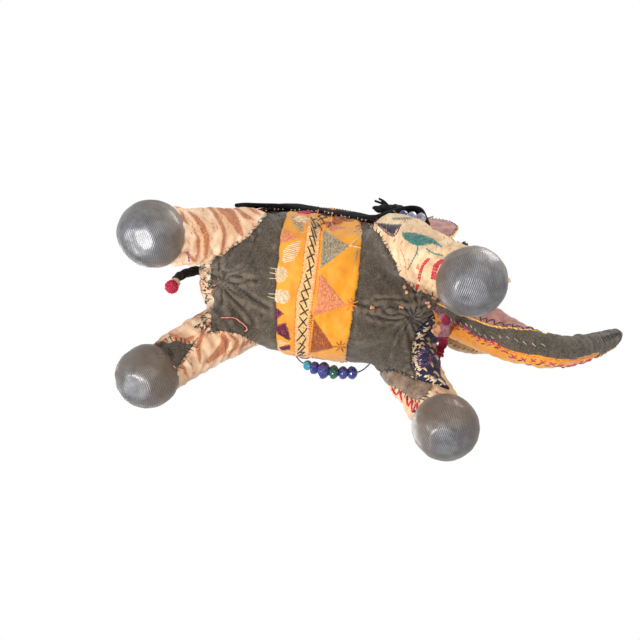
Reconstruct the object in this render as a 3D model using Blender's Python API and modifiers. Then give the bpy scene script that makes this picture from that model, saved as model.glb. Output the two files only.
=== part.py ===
"""Stuffed patchwork toy elephant: cloth skin over wadding, four legs, trunk, ears, tail and bead swags.

Metres, +Z up. +X is the elephant's front, +Y its left. It stands on the flats of its four feet.
"""
import bpy
import bmesh
import math
from mathutils import Matrix, Vector

MM = 0.001
GAP = 0.3                      # sewing gap kept between neighbouring pieces
SKIN = 2.0                     # cloth and its backing

# the whole figure is built about the middle of its stance, then centred on its own box
CENTRE_X = 52.66
CENTRE_Y = -1.56

# torso
TORSO_C = (-4.0, 0.0, 141.0)
TORSO_R = (106.0, 61.0, 61.0)
TORSO_POWER = 2.4
BAND_HALF = 33.0               # half width of the belly band along X
SEAM_Z = 148.0                 # side cloths end here, the back cloth starts
HEM_Z = 139.0                  # lower edge of the saddle cloth

# head
HEAD_C = (90.0, 0.0, 176.0)
HEAD_R = (33.0, 49.0, 47.0)
HEAD_POWER = 2.15

# legs: hip centre, foot centre, hip radius, ankle radius
FOOT_R = 24.6
LEGS = {
    "right_hind": ((-68.0, -42.0, 96.0), (-114.0, -56.0, 23.6), 27.0, 20.5),
    "left_hind": ((-70.0, 33.0, 96.0), (-114.0, 56.0, 23.6), 26.0, 19.5),
    "right_front": ((63.0, -56.0, 96.0), (114.0, -56.0, 23.6), 27.5, 20.5),
    "left_front": ((83.0, 46.0, 96.0), (114.0, 56.0, 23.6), 25.0, 18.5),
}
BEAD_GAP = 1.1                 # between beads on a string
LEG_SWING = 8.0                # degrees each way

# trunk centre line (X, Z, radius)
TRUNK = [(107.0, 150.0, 22.0), (111.0, 126.0, 20.5), (125.0, 105.0, 18.5), (138.5, 90.0, 17.2), (152.5, 75.5, 15.4),
         (168.0, 66.0, 13.2), (186.0, 64.5, 11.4)]
TRUNK_TIP = [(186.0, 64.5, 11.4), (201.0, 74.0, 10.0), (215.0, 89.0, 8.6), (228.0, 106.0, 7.0), (240.0, 124.0, 4.6)]

COLOURS = {
    "charcoal": ((0.085, 0.075, 0.07), 0.9),
    "marigold": ((0.85, 0.36, 0.03), 0.5),
    "peach": ((0.78, 0.52, 0.36), 0.8),
    "cream": ((0.86, 0.74, 0.58), 0.8),
    "mauve": ((0.44, 0.21, 0.2), 0.75),
    "black": ((0.012, 0.012, 0.014), 0.85),
    "silver": ((0.3, 0.31, 0.33), 0.3),
    "wadding": ((0.8, 0.78, 0.72), 0.95),
    "indigo": ((0.04, 0.06, 0.4), 0.2),
    "cyan": ((0.05, 0.4, 0.6), 0.2),
    "green": ((0.02, 0.12, 0.08), 0.2),
    "grey_bead": ((0.45, 0.45, 0.6), 0.2),
    "magenta": ((0.75, 0.01, 0.12), 0.85),
    "gold": ((0.6, 0.38, 0.1), 0.35),
}


def clear_scene():
    for obj in list(bpy.data.objects):
        bpy.data.objects.remove(obj, do_unlink=True)


def collection(name):
    col = bpy.data.collections.new(name)
    bpy.context.scene.collection.children.link(col)
    return col


def material(key):
    mat = bpy.data.materials.get(key)
    if mat is None:
        mat = bpy.data.materials.new(key)
        mat.use_nodes = True
        colour, rough = COLOURS[key]
        bsdf = mat.node_tree.nodes["Principled BSDF"]
        bsdf.inputs["Base Color"].default_value = (*colour, 1.0)
        bsdf.inputs["Roughness"].default_value = rough
        bsdf.inputs["Metallic"].default_value = 0.4 if key == "silver" else 0.0
    return mat


def v(point):
    """A design point in millimetres as a world vector in metres."""
    return Vector((point[0] - CENTRE_X, point[1] - CENTRE_Y, point[2])) * MM


def add(name, data, col, key=None):
    obj = bpy.data.objects.new(name, data)
    col.objects.link(obj)
    if key:
        data.materials.append(material(key))
    return obj


def as_cutter(obj):
    obj.hide_render = True
    obj.display_type = "WIRE"
    return obj


def finish_smooth(obj):
    if obj.type == "MESH":
        obj.data.shade_smooth()
        obj.data.set_sharp_from_angle(angle=math.radians(40))


def egg(name, col, centre, radii, power, cuts=5, key=None, grow=0.0):
    """A rounded box: a cube blown out to a superellipsoid."""
    bm = bmesh.new()
    bmesh.ops.create_cube(bm, size=2.0)
    bmesh.ops.subdivide_edges(bm, edges=bm.edges[:], cuts=cuts, use_grid_fill=True)
    for vert in bm.verts:
        spread = Vector([math.tan(c * math.pi / 4.0) for c in vert.co]).normalized()
        norm = sum(abs(c) ** power for c in spread) ** (1.0 / power)
        unit = spread / norm
        vert.co = Vector([unit[i] * (radii[i] + grow) * MM for i in range(3)])
    # nested eggs share their diagonals, so their skins stay parallel
    bmesh.ops.triangulate(bm, faces=bm.faces[:], quad_method="FIXED")
    mesh = bpy.data.meshes.new(name)
    bm.to_mesh(mesh)
    bm.free()
    obj = add(name, mesh, col, key)
    obj.location = v(centre)
    return obj


def box(name, col, low, high):
    bm = bmesh.new()
    bmesh.ops.create_cube(bm, size=1.0)
    size = [high[i] - low[i] for i in range(3)]
    for vert in bm.verts:
        vert.co = Vector([vert.co[i] * size[i] * MM for i in range(3)])
    mesh = bpy.data.meshes.new(name)
    bm.to_mesh(mesh)
    bm.free()
    obj = add(name, mesh, col)
    obj.location = v([(low[i] + high[i]) / 2.0 for i in range(3)])
    return as_cutter(obj)


def turned(name, col, profile, steps, key=None, closed=False):
    """A solid turned about local Z from (radius, height) points given top to bottom on the outside.

    A closed profile is a ring's section; an open one starts and ends on the axis.
    """
    mesh = bpy.data.meshes.new(name)
    verts = [(r * MM, 0.0, h * MM) for r, h in profile]
    edges = [(i, i + 1) for i in range(len(verts) - 1)]
    if closed:
        edges.append((len(verts) - 1, 0))
    mesh.from_pydata(verts, edges, [])
    obj = add(name, mesh, col, key)
    screw = obj.modifiers.new("turn", "SCREW")
    screw.axis = "Z"
    screw.steps = steps
    screw.render_steps = steps
    screw.use_merge_vertices = True
    screw.merge_threshold = 0.00001
    screw.use_normal_calculate = False
    screw.use_smooth_shade = True
    return obj


def prism(name, col, outline, z_low, z_high):
    """An upright block over a closed outline in plan."""
    curve = bpy.data.curves.new(name, "CURVE")
    curve.dimensions = "2D"
    curve.fill_mode = "BOTH"
    curve.extrude = (z_high - z_low) / 2.0 * MM
    spline = curve.splines.new("POLY")
    spline.points.add(len(outline) - 1)
    for point, (x, y) in zip(spline.points, outline):
        point.co = (x * MM, y * MM, 0.0, 1.0)
    spline.use_cyclic_u = True
    guide = add(name + "_outline", curve, col)
    guide.location = v((0.0, 0.0, (z_low + z_high) / 2.0))
    return mesh_of(guide, name)


def mesh_of(guide, name, key=None):
    """Turns a curve object into a welded mesh object and removes the curve."""
    bpy.context.view_layer.update()
    dg = bpy.context.evaluated_depsgraph_get()
    mesh = bpy.data.meshes.new_from_object(guide.evaluated_get(dg))
    mesh.name = name
    bm = bmesh.new()
    bm.from_mesh(mesh)
    bmesh.ops.remove_doubles(bm, verts=bm.verts[:], dist=0.00001)
    bmesh.ops.recalc_face_normals(bm, faces=bm.faces[:])
    quads = [face for face in bm.faces if len(face.verts) == 4]
    bmesh.ops.triangulate(bm, faces=quads, quad_method="FIXED")
    bm.to_mesh(mesh)
    bm.free()
    col = guide.users_collection[0]
    obj = bpy.data.objects.new(name, mesh)
    col.objects.link(obj)
    obj.matrix_world = guide.matrix_world
    bpy.data.objects.remove(guide, do_unlink=True)
    mesh.materials.clear()
    if key:
        mesh.materials.append(material(key))
    return obj


def tube(name, col, points, origin, shrink=0.0, key=None, sides=2, stretch=0.0):
    """A tapering tube through (X, Y, Z, radius) points, with its origin at a design point."""
    curve = bpy.data.curves.new(name, "CURVE")
    curve.dimensions = "3D"
    curve.bevel_depth = 1.0 * MM
    curve.bevel_resolution = sides
    curve.use_fill_caps = True
    spline = curve.splines.new("POLY")
    pts = [Vector(p[:3]) for p in points]
    if stretch:
        pts[0] = pts[0] + (pts[0] - pts[1]).normalized() * stretch
        pts[-1] = pts[-1] + (pts[-1] - pts[-2]).normalized() * stretch
    spline.points.add(len(pts) - 1)
    for point, pos, source in zip(spline.points, pts, points):
        local = v(pos) - v(origin)
        point.co = (*local, 1.0)
        point.radius = source[3] - shrink
    guide = add(name + "_line", curve, col)
    guide.location = v(origin)
    return mesh_of(guide, name, key)


def smooth_line(points, per_span):
    """Points of a Catmull-Rom curve through the given ones, radii included."""
    result = []
    for i in range(len(points) - 1):
        p0 = points[max(i - 1, 0)]
        p1, p2 = points[i], points[i + 1]
        p3 = points[min(i + 2, len(points) - 1)]
        for k in range(per_span):
            t = k / per_span
            result.append(tuple(
                0.5 * (2 * b + (c - a) * t + (2 * a - 5 * b + 4 * c - d) * t * t
                       + (3 * b - a - 3 * c + d) * t ** 3)
                for a, b, c, d in zip(p0, p1, p2, p3)))
    result.append(tuple(points[-1]))
    return result


def boolean(obj, operation, other, solver="EXACT"):
    mod = obj.modifiers.new(operation.lower(), "BOOLEAN")
    mod.operation = operation
    mod.object = other
    mod.solver = solver


def close_slivers(obj):
    """Joins the corners of any hair-thin face that a cut leaves."""
    weld = obj.modifiers.new("weld", "WELD")
    weld.merge_threshold = 0.00005


def aim(obj, start, end):
    """Puts the object's origin at start and its +Z along end to start."""
    down = (v(end) - v(start)).normalized()
    obj.rotation_mode = "QUATERNION"
    obj.rotation_quaternion = (-down).to_track_quat("Z", "Y")
    obj.location = v(start)


def leg_profile(hip_r, ankle_r, length, offset, first, last, count=3, arc_steps=5):
    """Outer line of a leg from a round hip (height 0) to the ankle, moved in by offset."""
    ankle_h = -(length - math.sqrt(FOOT_R ** 2 - ankle_r ** 2))
    joint_h = -math.sqrt(hip_r ** 2 - (hip_r * 0.86) ** 2)
    points = []
    r = hip_r - offset
    top = first if first is not None else r
    start = math.acos(max(-1.0, min(1.0, top / r)))
    stop = math.acos(joint_h / hip_r)
    for i in range(arc_steps + 1):
        a = start + (stop - start) * i / arc_steps
        points.append((max(r * math.sin(a), 0.0), r * math.cos(a)))
    end = last if last is not None else ankle_h
    r_start = points[-1][0]
    h_start = points[-1][1]
    for i in range(1, count + 1):
        t = i / count
        h = h_start + (end - h_start) * t
        whole = (h - h_start) / (ankle_h - h_start)
        radius = r_start + (ankle_r - offset - r_start) * min(whole * (1.7 - 0.7 * whole), 1.0)
        points.append((radius, h))
    return points, ankle_h


def build_leg(name, col, cut_col, ground):
    hip, foot, hip_r, ankle_r = LEGS[name]
    length = (Vector(foot) - Vector(hip)).length
    pieces = []
    # sleeve: an open cloth tube
    outer, ankle_h = leg_profile(hip_r, ankle_r, length, 0.0, 9.0, None)
    inner, _ = leg_profile(hip_r, ankle_r, length, SKIN, 9.0, None)
    sleeve = turned("leg_sleeve_" + name, col, outer + inner[::-1], 14, "peach", closed=True)
    # wadding: closed at both ends, stands proud of the sleeve's top as the round hip
    fill, _ = leg_profile(hip_r, ankle_r, length, SKIN + GAP, None, ankle_h + 0.0)
    wad = turned("leg_wadding_" + name, col, fill + [(0.0, fill[-1][1])], 14, "wadding")
    pieces += [sleeve, wad]
    # foot: an open round cover over its own wad
    opening = math.asin(ankle_r / FOOT_R)
    rings = 6
    arc = [(FOOT_R * math.sin(opening + (math.pi - opening) * i / rings),
            FOOT_R * math.cos(opening + (math.pi - opening) * i / rings) - length) for i in range(rings + 1)]
    arc = [(max(r, 0.0), h) for r, h in arc]
    arc[0] = (arc[0][0], ankle_h - GAP)
    arc[-1] = (0.0, arc[-1][1])
    scale = (FOOT_R - SKIN) / FOOT_R
    inside = [(r * scale, (h + length) * scale - length) for r, h in arc]
    inside[0] = (inside[0][0], ankle_h - GAP)
    cover = turned("foot_cover_" + name, col, arc + inside[::-1], 16, "silver", closed=True)
    scale = (FOOT_R - SKIN - GAP) / FOOT_R
    ball = [(r * scale, (h + length) * scale - length) for r, h in arc]
    ball[0] = (ball[0][0], ankle_h - GAP)
    core = turned("foot_wad_" + name, col, [(0.0, ankle_h - GAP)] + ball, 16, "wadding")
    pieces += [cover, core]
    for piece in pieces:
        aim(piece, hip, foot)
    boolean(cover, "DIFFERENCE", ground)
    # room for the leg to swing: the same shape, larger, flaring away from the hip
    flare, _ = leg_profile(hip_r, ankle_r, length, -1.4, None, None, arc_steps=8)
    spread = math.tan(math.radians(LEG_SWING + 1.0))
    room = [(r + max(0.0, -h - 8.0) * spread, h) for r, h in flare]
    clear = turned("room_" + name, cut_col, room + [(0.0, room[-1][1])], 16)
    aim(clear, hip, foot)
    return as_cutter(clear)


def gusset_outline(front, margin):
    """Plan of the dark belly cloth on one side of the band: waisted between the legs."""
    if front:
        right = [(BAND_HALF, -70.0), (46.0, -62.0), (60.0, -38.0), (76.0, -24.0), (96.0, -22.0)]
        left = [(98.0, 14.0), (84.0, 24.0), (62.0, 34.0), (46.0, 44.0), (BAND_HALF, 52.0)]
    else:
        right = [(-BAND_HALF, -70.0), (-45.0, -62.0), (-54.0, -50.0), (-72.0, -36.0), (-88.0, -22.0)]
        left = [(-90.0, 14.0), (-84.0, 30.0), (-60.0, 34.0), (-45.0, 42.0), (-BAND_HALF, 50.0)]
    side = 1.0 if front else -1.0
    # the plan stops a gap short of the band; the space kept free for it runs on past the band's edge
    edge = []
    for grow, rows in ((-margin, right), (margin, left)):
        for x, y in rows:
            edge.append((x + side * (GAP if abs(x) == BAND_HALF else margin), y + grow))
    if margin > 0.0:
        past = side * (BAND_HALF - 6.0)
        edge = [(past, edge[0][1])] + edge + [(past, edge[-1][1])]
    return edge


def build_torso(col, cut_col, rooms):
    outer = as_cutter(egg("torso_form", cut_col, TORSO_C, TORSO_R, TORSO_POWER, grow=GAP + 0.1))
    hollow = as_cutter(egg("torso_hollow", cut_col, TORSO_C, TORSO_R, TORSO_POWER, grow=-SKIN))
    wad = egg("torso_wadding", col, TORSO_C, TORSO_R, TORSO_POWER, key="wadding", grow=-SKIN - GAP)
    for room in rooms.values():
        boolean(wad, "DIFFERENCE", room)

    gussets = {}
    for front in (False, True):
        tag = "front" if front else "rear"
        gussets[tag] = (
            as_cutter(prism("gusset_plan_" + tag, cut_col, gusset_outline(front, 0.0), 60.0, 112.0)),
            as_cutter(prism("gusset_space_" + tag, cut_col, gusset_outline(front, GAP), 55.0, 112.0 + GAP)))

    half = GAP / 2.0
    rear, fore = -BAND_HALF - GAP, BAND_HALF + GAP
    top = SEAM_Z - half
    # each cloth: colour, the block of the torso it covers, and the leg or trunk rooms it meets
    regions = {
        "belly_band": ("marigold", (-BAND_HALF, -90.0, 50.0), (BAND_HALF, 90.0, top), ()),
        "side_cloth_right_rear": ("peach", (-130.0, -90.0, 50.0), (rear, -half, top), ("right_hind",)),
        "side_cloth_left_rear": ("peach", (-130.0, half, 50.0), (rear, 90.0, top), ("left_hind",)),
        "side_cloth_right_front": ("cream", (fore, -90.0, 50.0), (130.0, -half, top), ("right_front", "trunk")),
        "side_cloth_left_front": ("cream", (fore, half, 50.0), (130.0, 90.0, top), ("left_front", "trunk")),
        "back_cloth": ("peach", (-130.0, -90.0, SEAM_Z + half), (130.0, 90.0, 230.0), ("trunk",)),
        "gusset_rear": ("charcoal", None, None, ("right_hind", "left_hind")),
        "gusset_front": ("charcoal", None, None, ("right_front", "left_front")),
    }
    for name, (key, low, high, meets) in regions.items():
        # thin shells cut by several rounded rooms: the manifold solver keeps them whole
        piece = egg(name, col, TORSO_C, TORSO_R, TORSO_POWER, key=key)
        if name.startswith("gusset"):
            boolean(piece, "INTERSECT", gussets[name.split("_")[1]][0], "MANIFOLD")
        else:
            boolean(piece, "INTERSECT", box("area_" + name, cut_col, low, high), "MANIFOLD")
        if name.startswith("side_cloth"):
            boolean(piece, "DIFFERENCE", gussets[name.split("_")[3]][1], "MANIFOLD")
        for meet in meets:
            boolean(piece, "DIFFERENCE", rooms[meet], "MANIFOLD")
        boolean(piece, "DIFFERENCE", hollow, "MANIFOLD")
        close_slivers(piece)
    return outer


def build_saddle(col, cut_col, head_space):
    """The black cloth over the back: a bent sheet from hem to hem, its edges bound."""
    under = as_cutter(egg("saddle_under", cut_col, TORSO_C, TORSO_R, TORSO_POWER, grow=0.6))
    cloth = egg("saddle_cloth", col, TORSO_C, TORSO_R, TORSO_POWER, key="black", grow=3.2)
    boolean(cloth, "DIFFERENCE", under)
    boolean(cloth, "INTERSECT", box("saddle_area", cut_col, (-88.0, -90.0, HEM_Z), (64.0, 90.0, 240.0)))
    boolean(cloth, "DIFFERENCE", head_space)
    return cloth


def build_hem(side, col, cut_col, lining):
    """A row of pointed tabs along the hem that follows the curve of the flank."""
    count, width, depth = 9, 14.0, 10.0
    start = -74.0
    top = HEM_Z - GAP
    outline = [(start, top)]
    for i in range(count):
        outline.append((start + width * (i + 0.5), top - depth))
        outline.append((start + width * (i + 1), top - 2.0 if i < count - 1 else top))
    tag = "left" if side > 0 else "right"
    curve = bpy.data.curves.new("hem", "CURVE")
    curve.dimensions = "2D"
    curve.fill_mode = "BOTH"
    curve.extrude = 30.0 * MM
    spline = curve.splines.new("POLY")
    spline.points.add(len(outline) - 1)
    for point, (x, z) in zip(spline.points, outline):
        point.co = (x * MM, z * MM, 0.0, 1.0)
    spline.use_cyclic_u = True
    guide = add("hem_teeth_outline", curve, cut_col)
    guide.rotation_euler = (math.pi / 2.0, 0.0, 0.0)
    guide.location = v((0.0, side * 55.0, 0.0))
    teeth = as_cutter(mesh_of(guide, "hem_teeth_" + tag))
    tabs = egg("hem_points_" + tag, col, TORSO_C, TORSO_R, TORSO_POWER, key="black", grow=3.2)
    boolean(tabs, "INTERSECT", teeth, "MANIFOLD")
    boolean(tabs, "DIFFERENCE", lining, "MANIFOLD")


def build_head(col, cut_col, torso_form, trunk_room):
    half = GAP / 2.0
    form = as_cutter(egg("head_form", cut_col, HEAD_C, HEAD_R, HEAD_POWER, grow=1.2))
    hollow = as_cutter(egg("head_hollow", cut_col, HEAD_C, HEAD_R, HEAD_POWER, grow=-SKIN))
    wad = egg("head_wadding", col, HEAD_C, HEAD_R, HEAD_POWER, key="wadding", grow=-SKIN - GAP)
    pieces = [wad]
    for side, key in ((-1, "mauve"), (1, "marigold")):
        name = "head_cloth_" + ("left" if side > 0 else "right")
        piece = egg(name, col, HEAD_C, HEAD_R, HEAD_POWER, key=key)
        boolean(piece, "DIFFERENCE", hollow)
        low = (40.0, half if side > 0 else -90.0, 100.0)
        high = (140.0, 90.0 if side > 0 else -half, 240.0)
        boolean(piece, "INTERSECT", box("area_" + name, cut_col, low, high))
        pieces.append(piece)
    for piece in pieces:
        boolean(piece, "DIFFERENCE", torso_form)
        boolean(piece, "DIFFERENCE", trunk_room)
    return form


def build_face(col, head_form, torso_form, trunk_room):
    for side in (-1, 1):
        tag = "left" if side > 0 else "right"
        eye = turned("eye_" + tag, col, [(0.0, 2.2), (2.6, 1.6), (4.2, 0.0), (4.2, -1.0), (0.0, -1.0)], 16, "black")
        start = Vector((109.0, side * 38.0, 186.0))
        centre = Vector(HEAD_C)
        normal = Vector([(start[i] - centre[i]) / HEAD_R[i] ** 2 for i in range(3)]).normalized()
        aim(eye, start + normal * 4.4, start)
        boolean(eye, "DIFFERENCE", head_form)
        tusk = tube("tusk_" + tag, col, smooth_line([
            (108.0, side * 33.0, 147.0, 6.5), (122.0, side * 34.5, 138.0, 5.6),
            (138.0, side * 33.0, 132.5, 4.2), (150.0, side * 30.0, 132.0, 1.8)], 3), (108.0, side * 33.0, 147.0),
            key="cream")
        boolean(tusk, "DIFFERENCE", head_form)
        boolean(tusk, "DIFFERENCE", trunk_room)
        ear = egg("ear_" + tag, col, (86.0, side * 55.4, 174.0), (18.0, 2.9, 35.0), 2.6, cuts=3, key="mauve")
        pivot = (103.0, side * 53.0, 174.0)
        shift = v(pivot) - ear.location
        ear.data.transform(Matrix.Translation(-shift))
        ear.location = v(pivot)
    lip = egg("mouth_lip", col, (93.0, 6.0, 102.0), (9.5, 8.5, 6.5), 2.2, cuts=3, key="peach")
    boolean(lip, "DIFFERENCE", torso_form)
    boolean(lip, "DIFFERENCE", trunk_room)


def trunk_line(rows, per_span):
    return smooth_line([(x, 0.0, z, r) for x, z, r in rows], per_span)


def build_trunk_room(cut_col):
    """Room for the trunk to swing: a round socket that flares along the trunk."""
    root = (TRUNK[0][0], 0.0, TRUNK[0][1])
    aim_at = (121.0, 0.0, 110.0)
    r = TRUNK[0][2] + 0.9
    profile = [(r * math.sin(math.radians(a)), r * math.cos(math.radians(a))) for a in (0, 22, 45, 67, 90)]
    profile += [(r + 1.5, -10.0), (r + 9.0, -38.0), (r + 14.0, -60.0), (0.0, -60.0)]
    room = turned("room_trunk", cut_col, profile, 16)
    aim(room, root, aim_at)
    return as_cutter(room)


def build_trunk(col, cut_col):
    root = (TRUNK[0][0], 0.0, TRUNK[0][1])
    bend = (TRUNK_TIP[0][0], 0.0, TRUNK_TIP[0][1])
    bend_r = TRUNK_TIP[0][2]
    line = trunk_line(TRUNK, 1)
    # the bend's round knuckle and the cup it sits in
    cup = as_cutter(egg("bend_cup", cut_col, bend, (bend_r + 0.8,) * 3, 2.0))
    hollow = as_cutter(tube("trunk_hollow", cut_col, line, root, shrink=SKIN, stretch=3.0))
    knob = as_cutter(egg("root_knob", cut_col, root, ((TRUNK[0][2] - SKIN - GAP) * 0.9,) * 3, 2.0, cuts=3))
    ball = as_cutter(egg("bend_ball", cut_col, bend, ((bend_r - 1.9) * 0.9,) * 3, 2.0, cuts=3))
    wad = tube("trunk_wadding", col, line, root, shrink=SKIN + GAP, key="wadding")
    boolean(wad, "UNION", knob)
    boolean(wad, "DIFFERENCE", cup)
    # the dark strip runs along the underside, one coloured cloth on each side of it
    strip = as_cutter(strip_block("strip_area", cut_col, line, 0.0))
    strip_space = as_cutter(strip_block("strip_space", cut_col, line, GAP))
    for name, key, area in (("trunk_strip", "charcoal", strip),
                            ("trunk_cloth_left", "marigold", None),
                            ("trunk_cloth_right", "mauve", None)):
        piece = tube(name, col, line, root, key=key)
        boolean(piece, "DIFFERENCE", hollow, "MANIFOLD")
        if area is not None:
            boolean(piece, "INTERSECT", area, "MANIFOLD")
        else:
            side = 1 if name.endswith("left") else -1
            low = (60.0, GAP / 2.0 if side > 0 else -60.0, 0.0)
            high = (260.0, 60.0 if side > 0 else -GAP / 2.0, 240.0)
            boolean(piece, "INTERSECT", box("area_" + name, cut_col, low, high), "MANIFOLD")
            boolean(piece, "DIFFERENCE", strip_space, "MANIFOLD")
        boolean(piece, "DIFFERENCE", cup, "MANIFOLD")
    # tip: its own wadding in a closed-ended dark sleeve
    tip = trunk_line(TRUNK_TIP, 2)
    sleeve = tube("trunk_tip_sleeve", col, tip, bend, key="charcoal")
    inner = as_cutter(tube("tip_hollow", cut_col, [p if i < len(tip) - 1 else (p[0], p[1], p[2], p[3] - 1.5)
                                                   for i, p in enumerate(tip[:-1])], bend,
                           shrink=1.6, stretch=2.0))
    boolean(sleeve, "DIFFERENCE", inner)
    core = tube("trunk_tip_wadding", col, tip[:-1], bend, shrink=1.6 + GAP, key="wadding")
    boolean(core, "UNION", ball)


def strip_block(name, col, line, grow):
    """A narrow upright slab, under the trunk's centre line, that follows it."""
    half_width = 9.0 + grow
    points = []
    for x, _, z, r in line:
        points.append((x, z, r))
    low, mid = [], []
    for i, (x, z, r) in enumerate(points):
        a = points[max(i - 1, 0)]
        b = points[min(i + 1, len(points) - 1)]
        along = Vector((b[0] - a[0], b[1] - a[1])).normalized()
        normal = Vector((along[1], -along[0]))          # towards the underside
        run = -5.0 if i == 0 else 5.0 if i == len(points) - 1 else 0.0
        x, z = x + along[0] * run, z + along[1] * run
        low.append((x + normal[0] * (r + 6.0), z + normal[1] * (r + 6.0)))
        mid.append((x + normal[0] * -grow, z + normal[1] * -grow))
    outline = mid + low[::-1]
    curve = bpy.data.curves.new(name, "CURVE")
    curve.dimensions = "2D"
    curve.fill_mode = "BOTH"
    curve.extrude = half_width * MM
    spline = curve.splines.new("POLY")
    spline.points.add(len(outline) - 1)
    for point, (x, z) in zip(spline.points, outline):
        point.co = (x * MM, z * MM, 0.0, 1.0)
    spline.use_cyclic_u = True
    guide = add(name + "_outline", curve, col)
    guide.rotation_euler = (math.pi / 2.0, 0.0, 0.0)
    guide.location = v((0.0, 0.0, 0.0))
    return mesh_of(guide, name)


def build_tail(col, torso_form):
    root = (-108.5, 0.0, 128.0)
    line = [(-112.0, 0.0, 124.5, 4.0), (-117.0, 0.0, 114.0, 4.1), (-119.0, 0.0, 102.0, 3.9), (-118.0, 0.0, 92.0, 3.4),
            (-116.5, 0.0, 86.5, 3.0)]
    roll = tube("tail_roll", col, smooth_line(line, 3), root, key="black")
    boolean(roll, "DIFFERENCE", torso_form)
    wrap = turned("tail_wrap", col, [(0.0, 0.0), (3.4, 0.0), (3.9, -1.8), (3.4, -3.6), (0.0, -3.6)], 12, "cream")
    end = Vector((-116.4, 0.0, 86.0))
    aim(wrap, end, end + Vector((0.9, 0.0, -5.0)))
    wrap.data.materials[0] = material("cream")
    pom = egg("tail_pompom", col, (-115.4, 0.0, 75.9), (5.9, 5.9, 5.9), 2.0, cuts=3, key="magenta")
    for obj in (roll, wrap, pom):
        put_origin(obj, root)


def put_origin(obj, point):
    """Moves an object's origin to a design point without moving its shape."""
    bpy.context.view_layer.update()
    world = obj.matrix_world.copy()
    target = Matrix.Translation(v(point))
    if obj.modifiers and obj.modifiers[0].type == "SCREW":
        holder = bpy.data.objects.new(obj.name + "_pivot", None)
        obj.users_collection[0].objects.link(holder)
        holder.location = v(point)
        obj.parent = holder
        obj.matrix_parent_inverse = Matrix.Translation(-v(point))
        return
    obj.data.transform(target.inverted() @ world)
    obj.matrix_world = target


def bead(name, col, centre, along, length, radius, key):
    """A bored bead: a rounded ring about its thread."""
    bore = 1.1
    half = length / 2.0
    rings = 4
    outer = [(bore + (radius - bore) * math.sin(math.pi * i / rings) ** 0.6, half * math.cos(math.pi * i / rings))
             for i in range(1, rings)]
    profile = [(bore + 0.5, half)] + outer + [(bore + 0.5, -half), (bore, -half), (bore, half)]
    obj = turned(name, col, profile, 8, key, closed=True)
    aim(obj, Vector(centre) + Vector(along) * 0.0, Vector(centre) - Vector(along))
    return obj


def build_swag(name, col, hinge_y, hinge_z, x_low, x_high, sag, beads):
    """A bead string hung from the hem at both ends, in one upright plane through its hinge line."""
    mid = (x_low + x_high) / 2.0
    half = (x_high - x_low) / 2.0

    def at(t):
        return Vector((mid + half * t, hinge_y, hinge_z - 2.2 - sag * (1.0 - t * t) ** 0.8))

    # arc length along the string, to thread the beads side by side in its middle
    samples = [at(-1.0 + 2.0 * i / 200) for i in range(201)]
    reach = [0.0]
    for a, b in zip(samples, samples[1:]):
        reach.append(reach[-1] + (b - a).length)

    def along_string(distance):
        i = min(max(next((k for k, d in enumerate(reach) if d >= distance), 200), 1), 200)
        t = (distance - reach[i - 1]) / (reach[i] - reach[i - 1])
        return samples[i - 1].lerp(samples[i], t)

    points = [(*at(-1.0 + 2.0 * i / 14), 0.55) for i in range(15)]
    pivot = (mid, hinge_y, hinge_z)
    made = [tube("thread_" + name, col, points, pivot, key="black", sides=2)]
    total = sum(length + BEAD_GAP for length, _, _ in beads) - BEAD_GAP
    start = (reach[-1] - total) / 2.0
    for i, (length, radius, key) in enumerate(beads):
        a, b = along_string(start), along_string(start + length)
        centre = along_string(start + length / 2.0) * 0.5 + (a + b) * 0.25
        made.append(bead("bead_%s_%d" % (name, i + 1), col, centre, (b - a).normalized(), length, radius, key))
        start += length + BEAD_GAP
    for obj in made:
        put_origin(obj, pivot)


def main():
    clear_scene()
    col = collection("patchwork_elephant")
    cut_col = collection("clearances")
    ground = box("ground", cut_col, (-200.0, -120.0, -30.0), (200.0, 120.0, 0.0))
    rooms = {name: build_leg(name, col, cut_col, ground) for name in LEGS}

    rooms["trunk"] = build_trunk_room(cut_col)
    torso_form = build_torso(col, cut_col, rooms)
    head_form = build_head(col, cut_col, torso_form, rooms["trunk"])
    build_trunk(col, cut_col)
    build_face(col, head_form, torso_form, rooms["trunk"])
    build_saddle(col, cut_col, head_form)
    lining = as_cutter(egg("hem_lining", cut_col, TORSO_C, TORSO_R, TORSO_POWER, grow=1.7))
    build_hem(1, col, cut_col, lining)
    build_hem(-1, col, cut_col, lining)
    build_tail(col, torso_form)
    build_swag("left", col, 66.4, 137.0, -20.0, 48.0, 19.0, [
        (6.0, 3.6, "cyan"), (6.6, 4.6, "indigo"), (8.5, 6.0, "indigo"),
        (7.0, 4.9, "green"), (7.0, 4.6, "indigo"), (7.0, 4.6, "indigo")])
    build_swag("right", col, -66.0, 139.0, 47.0, 79.0, 8.0, [
        (5.8, 3.8, "indigo"), (6.2, 3.9, "grey_bead"), (5.8, 3.8, "grey_bead")])
    for obj in col.objects:
        finish_smooth(obj)


main()
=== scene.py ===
import math

import bpy
import numpy as np
from mathutils import Matrix, Vector
from mathutils.bvhtree import BVHTree


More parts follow.
